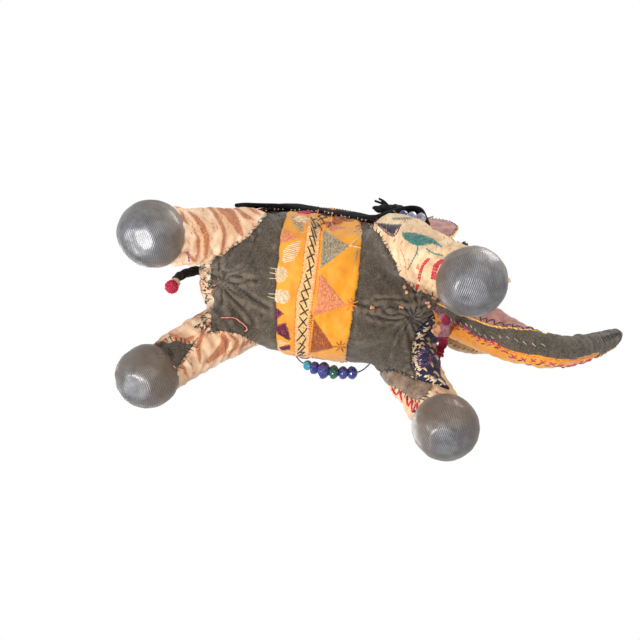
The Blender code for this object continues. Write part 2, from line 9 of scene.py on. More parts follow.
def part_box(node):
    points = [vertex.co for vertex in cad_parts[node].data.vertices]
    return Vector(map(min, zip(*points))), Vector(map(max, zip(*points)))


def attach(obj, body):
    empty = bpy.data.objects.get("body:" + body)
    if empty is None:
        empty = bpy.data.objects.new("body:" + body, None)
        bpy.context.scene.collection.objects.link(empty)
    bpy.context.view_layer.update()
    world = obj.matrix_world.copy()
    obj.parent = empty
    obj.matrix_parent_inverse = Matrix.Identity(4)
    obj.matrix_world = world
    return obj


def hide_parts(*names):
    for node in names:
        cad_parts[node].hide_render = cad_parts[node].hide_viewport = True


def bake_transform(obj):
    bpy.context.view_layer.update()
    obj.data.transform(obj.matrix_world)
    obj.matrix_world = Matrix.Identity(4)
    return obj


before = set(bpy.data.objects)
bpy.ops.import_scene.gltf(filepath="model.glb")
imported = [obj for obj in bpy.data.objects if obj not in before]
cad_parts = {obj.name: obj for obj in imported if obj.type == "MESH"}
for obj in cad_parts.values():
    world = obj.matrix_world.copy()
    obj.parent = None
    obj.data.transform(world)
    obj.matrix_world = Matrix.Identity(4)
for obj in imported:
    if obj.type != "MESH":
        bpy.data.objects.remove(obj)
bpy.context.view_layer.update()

# Everything below is in millimetres in the row frame until it becomes a mesh.
MM = 0.001
OFF = np.array([-52.66, 1.56, 0.0])      # the design frame's origin in the row frame
RNG = np.random.default_rng(11)

# ---------------------------------------------------------------- camera
# The photo's viewpoint, fitted to it beforehand: a place in mm and three unit directions.
EYE = np.array([30.94, -208.74, -508.8])
VIEW = np.array([-0.12238819, 0.34757463, 0.92963058])
RIGHT = np.array([0.98039839, -0.10338061, 0.16772432])
UP = np.array([-0.15440249, -0.9319358, 0.32810904])
PLANE = 82.0                             # belly layouts are drawn on this level

camera = bpy.data.objects.new("camera", bpy.data.cameras.new("camera"))
bpy.context.scene.collection.objects.link(camera)
camera.data.lens, camera.data.sensor_width = 45.0, 36.0
camera.matrix_world = Matrix([[*x, e * MM] for x, e in zip(np.stack([RIGHT, UP, -VIEW], 1), EYE)]
        + [[0, 0, 0, 1]])
bpy.context.scene.camera = camera
bpy.context.scene.view_settings.view_transform = "Standard"


def d2r(*p):
    """A design point in the row frame."""
    return np.array(p, float) + OFF


def unit(v):
    """A vector at length 1."""
    return v / np.linalg.norm(v)


def spoke(angle):
    return np.array([math.cos(angle), math.sin(angle)])


def oval(x, y, rx, ry, n):
    t = np.linspace(0, 2 * np.pi, n)
    return np.stack([x + rx * np.cos(t), y + ry * np.sin(t)], 1)


def sight(q):
    """The direction from the eye to a layout point."""
    return unit(np.array([q[0], q[1], PLANE]) - EYE)


# ---------------------------------------------------------------- numpy meshes
def normals(verts, tris):
    """Vertex normals, weighted by area."""
    face = np.cross(verts[tris[:, 1]] - verts[tris[:, 0]], verts[tris[:, 2]] - verts[tris[:, 0]])
    out = np.zeros_like(verts)
    for k in range(3):
        np.add.at(out, tris[:, k], face)
    return out / np.maximum(np.linalg.norm(out, axis=1), 1e-12)[:, None]


class Skin:
    """Triangles with a rest place and any number of float fields."""

    def __init__(self, verts, tris, rest=None, data=None):
        self.v, self.t = np.asarray(verts, float), np.asarray(tris, int)
        self.rest = self.v.copy() if rest is None else rest
        self.data = data or {}

    def normals(self):
        return normals(self.v, self.t)

    def take(self, tris):
        """Only these triangles and the points that they use."""
        used = np.unique(tris)
        new = np.full(len(self.v), -1)
        new[used] = np.arange(len(used))
        return Skin(self.v[used], new[tris], self.rest[used], {k: d[used] for k, d in self.data.items()})

    def clip(self, field):
        """The part where field > 0, cut exactly along its zero line."""
        f = np.where(np.abs(field) < 0.03, 0.03, field)
        pos = f > 0
        count = pos[self.t].sum(1)
        whole = self.t[count == 3]
        mixed = self.t[(count == 1) | (count == 2)]
        if not len(mixed):
            return self.take(whole)
        one = pos[mixed].sum(1) == 1
        odd = np.where(one[:, None], pos[mixed], ~pos[mixed]).argmax(1)
        a, b, c = mixed[np.arange(len(mixed))[:, None], (odd[:, None] + np.arange(3)) % 3].T
        pairs = np.sort(np.concatenate([np.stack([a, b], 1), np.stack([a, c], 1)]), axis=1)
        keys, inv = np.unique(pairs[:, 0] * len(self.v) + pairs[:, 1], return_inverse=True)
        i, j = keys // len(self.v), keys % len(self.v)
        t = f[i] / (f[i] - f[j])
        mix = lambda d: np.concatenate([d, d[i] * (1 - t if d.ndim == 1 else (1 - t)[:, None]) + d[j]
                * (t if d.ndim == 1 else t[:, None])])
        ab, ac = len(self.v) + inv[:len(a)], len(self.v) + inv[len(a):]
        two = ~one
        tris = np.concatenate([whole, np.stack([a, ab, ac], 1)[one],
                               np.stack([ab, b, c], 1)[two], np.stack([ab, c, ac], 1)[two]])
        big = Skin(mix(self.v), tris, mix(self.rest), {k: mix(d) for k, d in self.data.items()})
        return big.take(tris)

    def rim(self):
        """Directed edges that only one triangle uses."""
        e = np.concatenate([self.t[:, [0, 1]], self.t[:, [1, 2]], self.t[:, [2, 0]]])
        key = np.sort(e, axis=1)
        key = key[:, 0] * len(self.v) + key[:, 1]
        _, inv, cnt = np.unique(key, return_inverse=True, return_counts=True)
        return e[cnt[inv] == 1]

    def big(self, least=60):
        """Without islands of fewer than least triangles."""
        if not len(self.t):
            return self
        e = np.concatenate([self.t[:, [0, 1]], self.t[:, [1, 2]]])
        lab = np.arange(len(self.v))
        while True:
            m = np.minimum(lab[e[:, 0]], lab[e[:, 1]])
            new = lab.copy()
            np.minimum.at(new, e[:, 0], m)
            np.minimum.at(new, e[:, 1], m)
            new = new[new]
            if (new == lab).all():
                break
            lab = new
        of = lab[self.t[:, 0]]
        cnt = np.bincount(of, minlength=len(self.v))
        return self.take(self.t[cnt[of] >= least])

    def capped(self):
        """Closed with a fan over each open rim."""
        edges = self.rim()
        nxt = {int(a): int(b) for a, b in edges}
        verts, tris, left = [self.v], [self.t], set(nxt)
        rests, extra, n = [self.rest], [], len(self.v)
        while left:
            start = left.pop()
            loop, cur = [start], nxt[start]
            while cur != start and cur in left:
                left.discard(cur)
                loop.append(cur)
                cur = nxt[cur]
            if len(loop) < 3:
                continue
            mid = n + len(extra)
            extra.append(loop)
            verts.append(self.v[loop].mean(0)[None])
            rests.append(self.rest[loop].mean(0)[None])
            loop = np.array(loop)
            tris.append(np.stack([np.roll(loop, -1), loop, np.full(len(loop), mid)], 1))
        data = {k: np.concatenate([d] + [d[l].mean(0)[None] for l in extra]) for k, d in self.data.items()}
        return Skin(np.concatenate(verts), np.concatenate(tris), np.concatenate(rests), data)

    def thick(self, under):
        """Closed with the same skin turned over, under mm below, sharing its rim."""
        edge = np.unique(self.rim())
        n = len(self.v)
        low = np.arange(n) + n
        low[edge] = edge
        down = self.v - self.normals() * under
        both = Skin(np.concatenate([self.v, down]), np.concatenate([self.t, low[self.t[:, ::-1]]]),
                    np.concatenate([self.rest, self.rest]),
                    {k: np.concatenate([d, d]) for k, d in self.data.items()})
        return both.take(both.t)


def make(name, skin, material, body=None, slot=None):
    """A Blender object from a Skin, riding a body; on a hinged body it is left in place without a parent."""
    mesh = bpy.data.meshes.new(name)
    mesh.vertices.add(len(skin.v))
    mesh.vertices.foreach_set("co", (skin.v * MM).ravel())
    mesh.loops.add(skin.t.size)
    mesh.loops.foreach_set("vertex_index", skin.t.ravel().astype(np.int32))
    mesh.polygons.add(len(skin.t))
    mesh.polygons.foreach_set("loop_start", np.arange(0, skin.t.size, 3, dtype=np.int32))
    mesh.polygons.foreach_set("loop_total", np.full(len(skin.t), 3, np.int32))
    mesh.polygons.foreach_set("use_smooth", np.full(len(skin.t), True))
    mesh.update(calc_edges=True)
    mesh.validate()
    a = mesh.attributes.new("rest", "FLOAT_VECTOR", "POINT")
    a.data.foreach_set("vector", skin.rest.astype(np.float32).ravel())
    for k, d in skin.data.items():
        if k[0] == "_":
            continue
        a = mesh.attributes.new(k, "FLOAT", "POINT")
        a.data.foreach_set("value", d.astype(np.float32))
    mesh.materials.append(material)
    obj = bpy.data.objects.new(name, mesh)
    bpy.context.scene.collection.objects.link(obj)
    if body in HINGE:
        parent, child, start, end = HINGE[body]
        [c * MM for c in start]
        [c * MM for c in end]
        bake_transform(obj)
    elif body:
        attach(obj, body)
    return obj


def grid(points, closed_u=True, caps=True):
    """Triangles over rings of points shaped (rings, around, 3)."""
    r, n, _ = points.shape
    verts = points.reshape(-1, 3)
    i, j = np.meshgrid(np.arange(r - 1), np.arange(n if closed_u else n - 1), indexing="ij")
    a, b = i * n + j, i * n + (j + 1) % n
    c, d = a + n, b + n
    tris = np.concatenate([np.stack([a, b, d], -1).reshape(-1, 3), np.stack([a, d, c], -1).reshape(-1, 3)])
    if caps:
        top, end = len(verts), len(verts) + 1
        verts = np.concatenate([verts, points[0].mean(0)[None], points[-1].mean(0)[None]])
        k = np.arange(n)
        tris = np.concatenate([tris, np.stack([(k + 1) % n, k, np.full(n, top)], 1),
                               np.stack([(r - 1) * n + k, (r - 1) * n + (k + 1) % n, np.full(n, end)], 1)])
    return Skin(verts, tris)


def facing_out(skin):
    """Turns a closed skin's triangles so that its volume is positive."""
    a, b, c = (skin.v[skin.t[:, k]] for k in range(3))
    if np.einsum("ij,ij->i", a, np.cross(b, c)).sum() < 0:
        skin.t = skin.t[:, ::-1].copy()
    return skin


def frames(path):
    """Unit tangents and two side vectors along a path, carried without twist."""
    path = np.asarray(path, float)
    t = np.gradient(path, axis=0)
    t /= np.linalg.norm(t, axis=1)[:, None]
    ref = np.array([0, 1.0, 0]) if abs(t[0][1]) < 0.9 else np.array([1.0, 0, 0])
    us = []
    for d in t:
        ref = ref - d * (ref @ d)
        ref /= np.linalg.norm(ref)
        us.append(ref.copy())
    us = np.array(us)
    return t, us, np.cross(t, us)


def pipe(path, radii, sides=8, flat=1.0):
    """A closed tube with flat capped ends."""
    path, radii = np.asarray(path, float), np.broadcast_to(np.asarray(radii, float), (len(path),))
    t, u, w = frames(path)
    ang = np.linspace(0, 2 * np.pi, sides, endpoint=False)
    ring = np.cos(ang)[None, :, None] * u[:, None] + flat * np.sin(ang)[None, :, None] * w[:, None]
    pts = path[:, None] + ring * radii[:, None, None]
    return facing_out(grid(pts))


def rounded(path, radii):
    """The same tube's path and radii with domed ends."""
    path, radii = np.asarray(path, float), np.broadcast_to(np.asarray(radii, float), (len(path),)).copy()
    a, b = unit(path[0] - path[1]), unit(path[-1] - path[-2])
    dome = [(0.95, 0.3), (0.8, 0.62), (0.5, 0.88)]
    head = [path[0] + a * radii[0] * h for h, _ in dome]
    tail = [path[-1] + b * radii[-1] * h for h, _ in dome[::-1]]
    return (np.array(head + list(path) + tail),
            np.array([radii[0] * r for _, r in dome] + list(radii) + [radii[-1] * r for _, r in dome[::-1]]))


def merge(skins):
    """Several skins as one, with the fields that all of them have."""
    verts, tris, rest, n = [], [], [], 0
    for s in skins:
        verts.append(s.v)
        tris.append(s.t + n)
        rest.append(s.rest)
        n += len(s.v)
    keys = set.intersection(*[set(s.data) for s in skins]) if skins else ()
    return Skin(np.concatenate(verts), np.concatenate(tris), np.concatenate(rest),
                {k: np.concatenate([s.data[k] for s in skins]) for k in keys})


def superegg(centre, radii, power, rings=40, around=64):
    """A superellipsoid with its poles on X."""
    th, ph = np.linspace(0, np.pi, rings), np.linspace(0, 2 * np.pi, around, endpoint=False)
    th = th[1:-1]
    d = np.stack([np.cos(th)[:, None] + 0 * ph, np.sin(th)[:, None] * np.cos(ph),
                  np.sin(th)[:, None] * np.sin(ph)], -1)
    d = d / (np.abs(d) ** power).sum(-1, keepdims=True) ** (1 / power)
    return facing_out(grid(d * np.array(radii) + np.array(centre)))


# ---------------------------------------------------------------- fields
def smooth01(x):
    x = np.clip(x, 0, 1)
    return x * x * (3 - 2 * x)


def sines(p, wavelength, seed, n=14):
    """Smooth noise, about -1 to 1, from seeded sine waves."""
    r = np.random.default_rng(seed)
    k = r.normal(size=(n, 3))
    k *= (2 * np.pi / wavelength / np.linalg.norm(k, axis=1) * r.uniform(0.7, 1.4, n))[:, None]
    return np.sin(p @ k.T + r.uniform(0, 2 * np.pi, n)).sum(1) / math.sqrt(n) * 0.9


def project(p):
    """Where the line from the eye through p meets the layout level."""
    d = p - EYE
    return EYE[:2] + d[:, :2] * ((PLANE - EYE[2]) / d[:, 2])[:, None]


def inside(q, poly):
    """Signed distance to a polygon, positive inside."""
    poly = np.asarray(poly, float)
    best = np.full(len(q), 1e9)
    odd = np.zeros(len(q), bool)
    for a, b in zip(poly, np.roll(poly, -1, axis=0)):
        e = b - a
        w = q - a
        t = np.clip((w @ e) / max(e @ e, 1e-9), 0, 1)
        best = np.minimum(best, ((w - t[:, None] * e) ** 2).sum(1))
        cross = ((a[1] <= q[:, 1]) & (b[1] > q[:, 1])) | ((b[1] <= q[:, 1]) & (a[1] > q[:, 1]))
        x = a[0] + (q[:, 1] - a[1]) * e[0] / (e[1] if abs(e[1]) > 1e-9 else 1e-9)
        odd ^= cross & (q[:, 0] < x)
    return np.where(odd, 1, -1) * np.sqrt(best)


def curve(points, n=24):
    """A smooth line through points, n per span."""
    p = np.asarray(points, float)
    if len(p) < 3:
        return p[0] + (p[-1] - p[0]) * np.linspace(0, 1, n)[:, None]
    q = np.concatenate([[2 * p[0] - p[1]], p, [2 * p[-1] - p[-2]]])
    out = []
    for k in range(len(p) - 1):
        a, b, c, d = q[k:k + 4]
        for t in np.linspace(0, 1, n, endpoint=False):
            out.append(0.5 * (2 * b + (c - a) * t + (2 * a - 5 * b + 4 * c - d) * t * t
                              + (3 * b - a - 3 * c + d) * t ** 3))
    return np.array(out + [p[-1]])


def petals(q, strokes):
    """Distance to the nearest leaf stroke, negative inside it."""
    best = np.full(len(q), 50.0)
    for points, half in strokes:
        line = curve(points, 6)
        width = half * np.sin(np.pi * (0.06 + 0.88 * np.linspace(0, 1, len(line)))) ** 0.7
        for a, b, wa, wb in zip(line[:-1], line[1:], width[:-1], width[1:]):
            e = b - a
            w = q - a
            t = np.clip((w @ e) / max(e @ e, 1e-9), 0, 1)
            best = np.minimum(best, np.sqrt(((w - t[:, None] * e) ** 2).sum(1)) - (wa + (wb - wa) * t))
    return best


# ---------------------------------------------------------------- the object's places
TORSO = (d2r(-4, 0, 141), (106, 61, 61), 2.4)
HEAD = (d2r(90, 0, 176), (33, 49, 47), 2.15)
LEGS = {
    "right_hind": (d2r(-68, -42, 96), d2r(-114, -56, 23.6), 27.0, 20.5),
    "left_hind": (d2r(-70, 33, 96), d2r(-114, 56, 23.6), 26.0, 19.5),
    "right_front": (d2r(63, -56, 96), d2r(114, -56, 23.6), 27.5, 20.5),
    "left_front": (d2r(83, 46, 96), d2r(114, 56, 23.6), 25.0, 18.5),
}
FOOT_R = 24.6
SOLE = 2.0                               # how high a foot starts to flatten on the floor
ANKLE = 0.62                             # the tie's angle from a foot's leg axis
TRUNK = [(107, 150, 22), (111, 126, 20.5), (125, 105, 18.5), (138.5, 90, 17.2), (152.5, 75.5, 15.4),
         (168, 66, 13.2), (186, 64.5, 11.4), (201, 74, 10), (215, 89, 8.6), (228, 106, 7), (240, 124, 4.6)]
LEG_START = 6.0

HINGE = {}
for leg, (hip, foot, _, _) in LEGS.items():
    axis = unit(foot - hip)
    HINGE["leg_" + leg] = ("torso", "leg_" + leg, hip + axis * (LEG_START + 2), hip + axis * (LEG_START + 38))


def leg_field(p, leg):
    """Positive on the leg's side of its hip seam, in mm."""
    hip, foot, r0, r1 = LEGS[leg]
    axis = unit(foot - hip)
    s = (p - hip) @ axis
    rho = np.linalg.norm((p - hip) - s[:, None] * axis, axis=1)
    return s - LEG_START - 0.06 * np.maximum(0, rho - r0 * 1.05) ** 2


# Layouts in mm on the belly level: outlines read off the photo and carried to that level.
BAND_LEFT = [(-80.8, -69.9), (-83.6, -58.1), (-85.1, -50.2), (-85.4, -35.8), (-85.4, -22.3), (-84.9, -4.0),
             (-82.6, 9.6), (-81.1, 27.1), (-80.6, 45.8)]
BAND_RIGHT = [(-23.9, -69.9), (-21.3, -61.7), (-20.9, -45.5), (-20.0, -21.2), (-20.8, -0.5), (-21.6, 20.6),
              (-22.1, 39.8)]
GUSSET_REAR = [(-60, -90), (-78, -84), (-90, -72.5), (-96.0, -68.6), (-99.5, -62.6), (-110.2, -46.7),
               (-122.4, -36.0), (-134.7, -24.3), (-140.1, -18.5), (-136.8, -3.9), (-139.0, 1.5),
               (-135.7, 14.7), (-136.8, 25.3), (-135.4, 33.8), (-139.4, 38.9), (-127.7, 35.2), (-114.3, 34.7),
               (-98.7, 40.8), (-84, 45.4), (-70, 62), (-50, 62), (-50, 0)]
GUSSET_FRONT = [(-45, -90), (-28, -84), (-20.0, -72.3), (-8.6, -63.5), (0.5, -49.9), (9.7, -36.1),
                (19.5, -27.4), (26.2, -23.1), (33.5, -23.0), (40.0, -22.0), (47, -18), (45.1, -10.9),
                (42.2, -6.5), (36.9, -0.3), (31.9, 7.1), (28.1, 19.8), (29.6, 34.6), (35.3, 47.4),
                (30.2, 47.6), (16.7, 44.5), (6.0, 48.0), (-4, 54.9), (-16, 66), (-45, 66), (-45, 0)]
NAVY = [(41.7, -7.7), (46.2, -4.3), (46.4, 6.1), (49.3, 21.5), (53.2, 40.2), (63.0, 53.7), (48.6, 50.3),
        (36.4, 48.9), (31.5, 39.7), (28.7, 27.2), (28.3, 17.6), (30.6, 9.8), (34.3, 1.8), (38.3, -4.5)]
MAGENTA = [(46.8, -5.9), (54.1, -5.1), (53.8, 4.8), (51.4, 14.7), (53.6, 17.5), (50.8, 26.5), (48.3, 20.6),
           (46.0, 6.2)]
LF_STRIP = [(2.1, 48.7), (16.7, 44.5), (30.2, 47.6), (36.4, 49.5), (49.0, 50.2), (48.0, 56.5), (42.0, 67.0),
            (32.4, 66.6), (17.6, 58.7), (7.0, 55.6)]
LH_PATCH = [(-188.7, 58.6), (-180.1, 54.2), (-166.4, 48.8), (-156.8, 50.3), (-148.2, 49.9), (-153.8, 58.8),
            (-158.7, 66.5), (-160.9, 74.6), (-177.7, 72.1), (-190.3, 63.3)]
CHEST, RUMP = np.array([24.7, -1.4]), np.array([-128.6, -6.0])
PETALS_REAR = [([(-159.5, -60.4), (-149.4, -52.3), (-143.7, -38.5), (-143.7, -23.7)], 2.2),
               ([(-154.8, -47.5), (-149.4, -36.9), (-149.9, -25.3)], 1.3),
               ([(-143.6, -65.8), (-135.1, -58.3), (-130.3, -46.2), (-131.6, -27.2)], 2.0),
               ([(-138.1, -67.4), (-125.7, -61.2), (-115.9, -47.5)], 3.8),
               ([(-123.0, -69.5), (-115.4, -62.7), (-107.3, -60.7)], 1.8),
               ([(-113.5, -70.0), (-102.1, -66.1)], 1.3), ([(-166.0, -58.7), (-159.0, -49.3)], 1.5),
               ([(-161.2, -26.9), (-151.0, -21.5)], 1.3), ([(-159.0, -15.6), (-140.8, -15.0)], 1.2),
               ([(-182.8, 51.6), (-172.0, 38.5), (-157.0, 28.6), (-141.3, 19.1)], 2.0),
               ([(-170.0, 45.3), (-157.7, 48.6), (-149.7, 43.3)], 2.8),
               ([(-143.0, 66.5), (-145.2, 51.5), (-140.5, 34.7)], 1.8),
               ([(-125.5, 37.5), (-123.9, 47.8), (-136.2, 64.8)], 3.8),
               ([(-119.1, 37.3), (-112.8, 42.7), (-119.6, 56.4)], 1.8),
               ([(-134.9, 27.6), (-144.5, 39.8)], 1.5), ([(-160.7, 68.3), (-152.4, 81.0)], 1.5),
               ([(-110.0, 47.2), (-101.4, 38.7)], 1.5), ([(-173.2, 52.7), (-187.0, 56.9)], 1.0),
               ([(-157.0, -7.5), (-155.4, 7.6), (-153.9, 21.1)], 0.8), ([(-152.1, -9.1), (-149.6, 6.6)], 1.0),
               ([(-147.0, -7.4), (-144.6, 5.8)], 0.8)]


def flank_petals(seed, low, high, count):
    """Leaf strokes for a flank, which is laid out as x against z."""
    r = np.random.default_rng(seed)
    out = []
    for _ in range(count):
        c = r.uniform(low, high)
        a = r.uniform(0, 2 * np.pi)
        ln = r.uniform(8, 17)
        d = spoke(a)
        side = np.array([-d[1], d[0]]) * ln * r.uniform(0.15, 0.35)
        out.append(([c - d * ln / 2, c + side, c + d * ln / 2], r.uniform(1.4, 2.9)))
    return out


FLANK = {1: flank_petals(5, (-165, 40), (45, 200), 120), -1: flank_petals(6, (-165, 40), (45, 200), 120)}


def band_field(p):
    """Inside the embroidered band that goes round the belly, up to the saddle's hem."""
    c = TORSO[0]
    phi = np.arctan2(p[:, 1] - c[1], c[2] - p[:, 2])          # 0 under the belly, + on the left flank

    def edge(side):
        pts = []
        for q in side:
            d = sight(q)
            for t in np.arange(301.0, 701.0):
                g = EYE + d * t
                if (np.abs((g - c) / np.array(TORSO[1])) ** TORSO[2]).sum() < 1:
                    break
            else:
                continue
            pts.append((math.atan2(g[1] - c[1], c[2] - g[2]), g[0]))
        pts.sort()
        return np.interp(phi, [a for a, _ in pts], [b for _, b in pts])
    return np.minimum(p[:, 0] - edge(BAND_LEFT), edge(BAND_RIGHT) - p[:, 0])


# ---------------------------------------------------------------- the stuffed skin
def to_object(name, skin):
    """A plain Blender object, for modifiers."""
    mesh = bpy.data.meshes.new(name)
    mesh.from_pydata((skin.v * MM).tolist(), [], skin.t.tolist())
    obj = bpy.data.objects.new(name, mesh)
    bpy.context.scene.collection.objects.link(obj)
    return obj


def settle(obj):
    """Replaces an object's mesh with what its modifiers give."""
    dg = bpy.context.evaluated_depsgraph_get()
    mesh = bpy.data.meshes.new_from_object(obj.evaluated_get(dg))
    obj.modifiers.clear()
    obj.data = mesh


def read(obj):
    """An object's mesh as a Skin in mm."""
    mesh = obj.data
    mesh.calc_loop_triangles()
    v = np.empty(len(mesh.vertices) * 3)
    mesh.vertices.foreach_get("co", v)
    t = np.empty(len(mesh.loop_triangles) * 3, np.int32)
    mesh.loop_triangles.foreach_get("vertices", t)
    return Skin(v.reshape(-1, 3) / MM, t.reshape(-1, 3))


SWELL_FRAMES, SWELL_PUSH, SWELL_MOST = 20, 4.0, 2.5          # frames, pressure and the cap in mm


def plump(obj):
    """The stuffing's push on the cloth: a short pressure simulation, capped."""
    before = read(obj).v
    scene = bpy.context.scene
    cloth = obj.modifiers.new("cloth", "CLOTH")
    s = cloth.settings
    s.use_pressure, s.uniform_pressure_force = True, SWELL_PUSH
    s.effector_weights.gravity = 0
    s.tension_stiffness = s.compression_stiffness = 12
    s.bending_stiffness = 0.6
    cloth.collision_settings.use_collision = False
    for f in range(1, SWELL_FRAMES + 1):
        scene.frame_set(f)
    settle(obj)
    scene.frame_set(1)
    after = read(obj).v
    move = after - before
    size = np.linalg.norm(move, axis=1)
    move *= (np.minimum(size, SWELL_MOST) / np.maximum(size, 1e-9))[:, None]
    obj.data.vertices.foreach_set("co", ((before + move) * MM).ravel())


# how much thinner each skin leg is at its hip than the CAD's, in mm
SLIM = {"right_front": 4.5, "right_hind": 1.0, "left_hind": 0.0, "left_front": 0.5}


def body_blob():
    """The stuffed torso, head and legs as one skin."""
    parts = [superegg(*TORSO), superegg(*HEAD)]
    for leg, (hip, foot, r0, r1) in LEGS.items():
        r0 = r0 - SLIM[leg]
        axis = unit(foot - hip)
        line = [hip - axis * 12 + (foot - hip + axis * 12) * t for t in np.linspace(0, 1, 14)]
        rad = [r0 + (r1 - r0) * t - 1.2 * math.sin(math.pi * t) for t in np.linspace(0, 1, 14)]
        parts.append(pipe(*rounded(line, rad), sides=32))
    obj = to_object("blob", merge(parts))
    m = obj.modifiers.new("remesh", "REMESH")
    m.mode, m.voxel_size, m.use_smooth_shade = "VOXEL", 0.005, True
    settle(obj)
    m = obj.modifiers.new("smooth", "SMOOTH")
    m.factor, m.iterations = 0.5, 2
    settle(obj)
    plump(obj)
    m = obj.modifiers.new("sub", "SUBSURF")
    m.levels = m.render_levels = 2
    settle(obj)
    skin = read(obj)
    bpy.data.objects.remove(obj)
    return skin


SKIN = body_blob()
P0 = SKIN.v.copy()
N0 = SKIN.normals()
Q0 = project(P0)
FACE = ((EYE - P0) / np.linalg.norm(EYE - P0, axis=1)[:, None] * N0).sum(1)
NEAR = smooth01((FACE + 0.15) / 0.3)

FIELDS = {}
FIELDS["band"] = np.minimum(band_field(P0) + 0.5 * sines(P0, 9, 3), 148 - P0[:, 2])
limit = (FACE + 0.12) * 40
FIELDS["gusset_rear"] = np.minimum(inside(Q0, GUSSET_REAR) + 0.4 * sines(P0, 12, 4), limit)
FIELDS["gusset_front"] = np.minimum(inside(Q0, GUSSET_FRONT) + 0.4 * sines(P0, 12, 5), limit)
FIELDS["magenta"] = np.minimum(inside(Q0, MAGENTA), limit)
for key, layout, seed in (("navy", NAVY, 6), ("lf_strip", LF_STRIP, 7), ("lh_patch", LH_PATCH, 8)):
    FIELDS[key] = np.minimum(inside(Q0, layout) + 0.3 * sines(P0, 7, seed), limit)
FIELDS["head"] = np.minimum((P0[:, 0] - OFF[0] - 70) + 0.5 * (P0[:, 2] - 140), P0[:, 2] - 124)


def folds(q, centre, count, reach, seed):
    """Gathers running out of one pulled point."""
    d = q - centre
    r = np.linalg.norm(d, axis=1)
    a = np.arctan2(d[:, 1], d[:, 0])
    wob = sines(np.concatenate([q, 0 * q[:, :1]], 1), 30, seed)
    return (np.sin(count * a + 2.2 * wob) * 0.7 + np.sin(count * 1.7 * a + 3 * wob + 1)
            * 0.4) * smooth01(r / 4) * np.exp(-r / reach)


lift = 1.0 * sines(P0, 34, 21) + 0.42 * sines(P0, 15, 22) + 0.15 * sines(P0, 6.5, 23) + 0.07 * sines(P0, 3.2,
        24)
swirl = np.linalg.norm((Q0 - [9.0, -4.0]) * [0.75, 1.3], axis=1)
lift += NEAR * 0.8 * np.sin(swirl / 2.6 * np.pi + 1.2 * sines(P0, 20, 29)) * np.exp(-(swirl / 13) ** 2)
lift += NEAR * (1.3 * folds(Q0, CHEST, 13, 20, 25) + 1.5 * folds(Q0, RUMP, 11, 30, 26) + 0.8
                * folds(Q0, np.array([31.0, -24.0]), 9, 14, 27))
for pts, depth, width in (([(-136, -12), (-122, -8), (-104, 2), (-90, 9)], 1.5, 2.2),
                          ([(-136, -9), (-118, -14), (-100, -12)], 1.1, 1.8),
                          ([(-135, -4), (-122, 3), (-108, 14), (-100, 24)], 0.9, 2.0),
                          ([(-134, -18), (-120, -26), (-108, -38)], 0.7, 1.8),
                          ([(-22, -6), (-8, -5), (6, -9), (22, -8), (33, -13)], 1.2, 1.8),
                          ([(-10, 1), (4, 3), (16, 1), (27, -4)], 1.3, 1.6),
                          ([(-4, -12), (8, -14), (20, -15), (31, -20)], 1.2, 1.6),
                          ([(6, -1), (14, -4), (22, -3)], 1.0, 1.3),
                          ([(20, 3), (24, 14), (27, 26)], 0.9, 1.5),
                          ([(24, -6), (32, -7), (40, -10)], 1.1, 1.4)):
    line = curve(pts, 20)
    far = np.min(((Q0[:, None, :] - line[None, ::3]) ** 2).sum(2), axis=1)
    lift += NEAR * 0.75 * depth * (0.7 * np.exp(-(np.sqrt(far) - 1.9 * width) ** 2 / (1.2 * width) ** 2)
            - np.exp(-far / width ** 2))
lift -= NEAR * (2.6 * np.exp(-((Q0 - CHEST) ** 2).sum(1) / 18) + 2.0
                * np.exp(-((Q0 - RUMP) ** 2).sum(1) / 22))
for leg, (hip, foot, r0, r1) in LEGS.items():
    axis = unit(foot - hip)
    side = unit(np.cross(axis, [0, 1.0, 0]))
    rel = P0 - hip
    s = rel @ axis
    rho = np.linalg.norm(rel - s[:, None] * axis, axis=1)
    ang = np.arctan2(rel @ np.cross(axis, side), rel @ side)
    length = np.linalg.norm(foot - hip)
    near = smooth01((r0 * 1.35 - rho) / 8) * smooth01((s + 4) / 10)
    lift += near * 0.42 * np.sin(s / 5.2 * np.pi + 2.2 * np.sin(ang + s / 30) + 1.5 * sines(P0, 25, 31))
    tuck = smooth01((s - (length - 42)) / 20)
    lift += near * tuck * 0.7 * np.sin(13 * ang + 1.5 * sines(P0, 20, 32))
for key in ("band", "gusset_rear", "gusset_front", "navy", "lf_strip", "lh_patch", "head"):
    lift -= 0.55 * np.exp(-(FIELDS[key] / 1.7) ** 2)
lift *= 1 - 0.7 * smooth01((P0[:, 2] - 140) / 12) * (FIELDS["head"] < 0)
SKIN.v = P0 + N0 * lift[:, None]
SKIN.rest = P0.copy()
ends = np.unique(np.sort(np.concatenate([SKIN.t[:, [0, 1]], SKIN.t[:, [1, 2]], SKIN.t[:, [2, 0]]]), axis=1),
                 axis=0)
deg = np.bincount(ends.ravel(), minlength=len(P0))
even = lift.copy()
for _ in range(10):
    even = 0.5 * even + 0.5 * (np.bincount(ends[:, 0], even[ends[:, 1]], len(P0))
                               + np.bincount(ends[:, 1], even[ends[:, 0]], len(P0))) / deg
# Fold depth, positive in creases and negative on ridges: the gusset cloth turns it into painted shade in the creases
# and painted light on the ridges.
SKIN.data["crease"] = np.clip((even - lift) / 0.5, -1, 1)

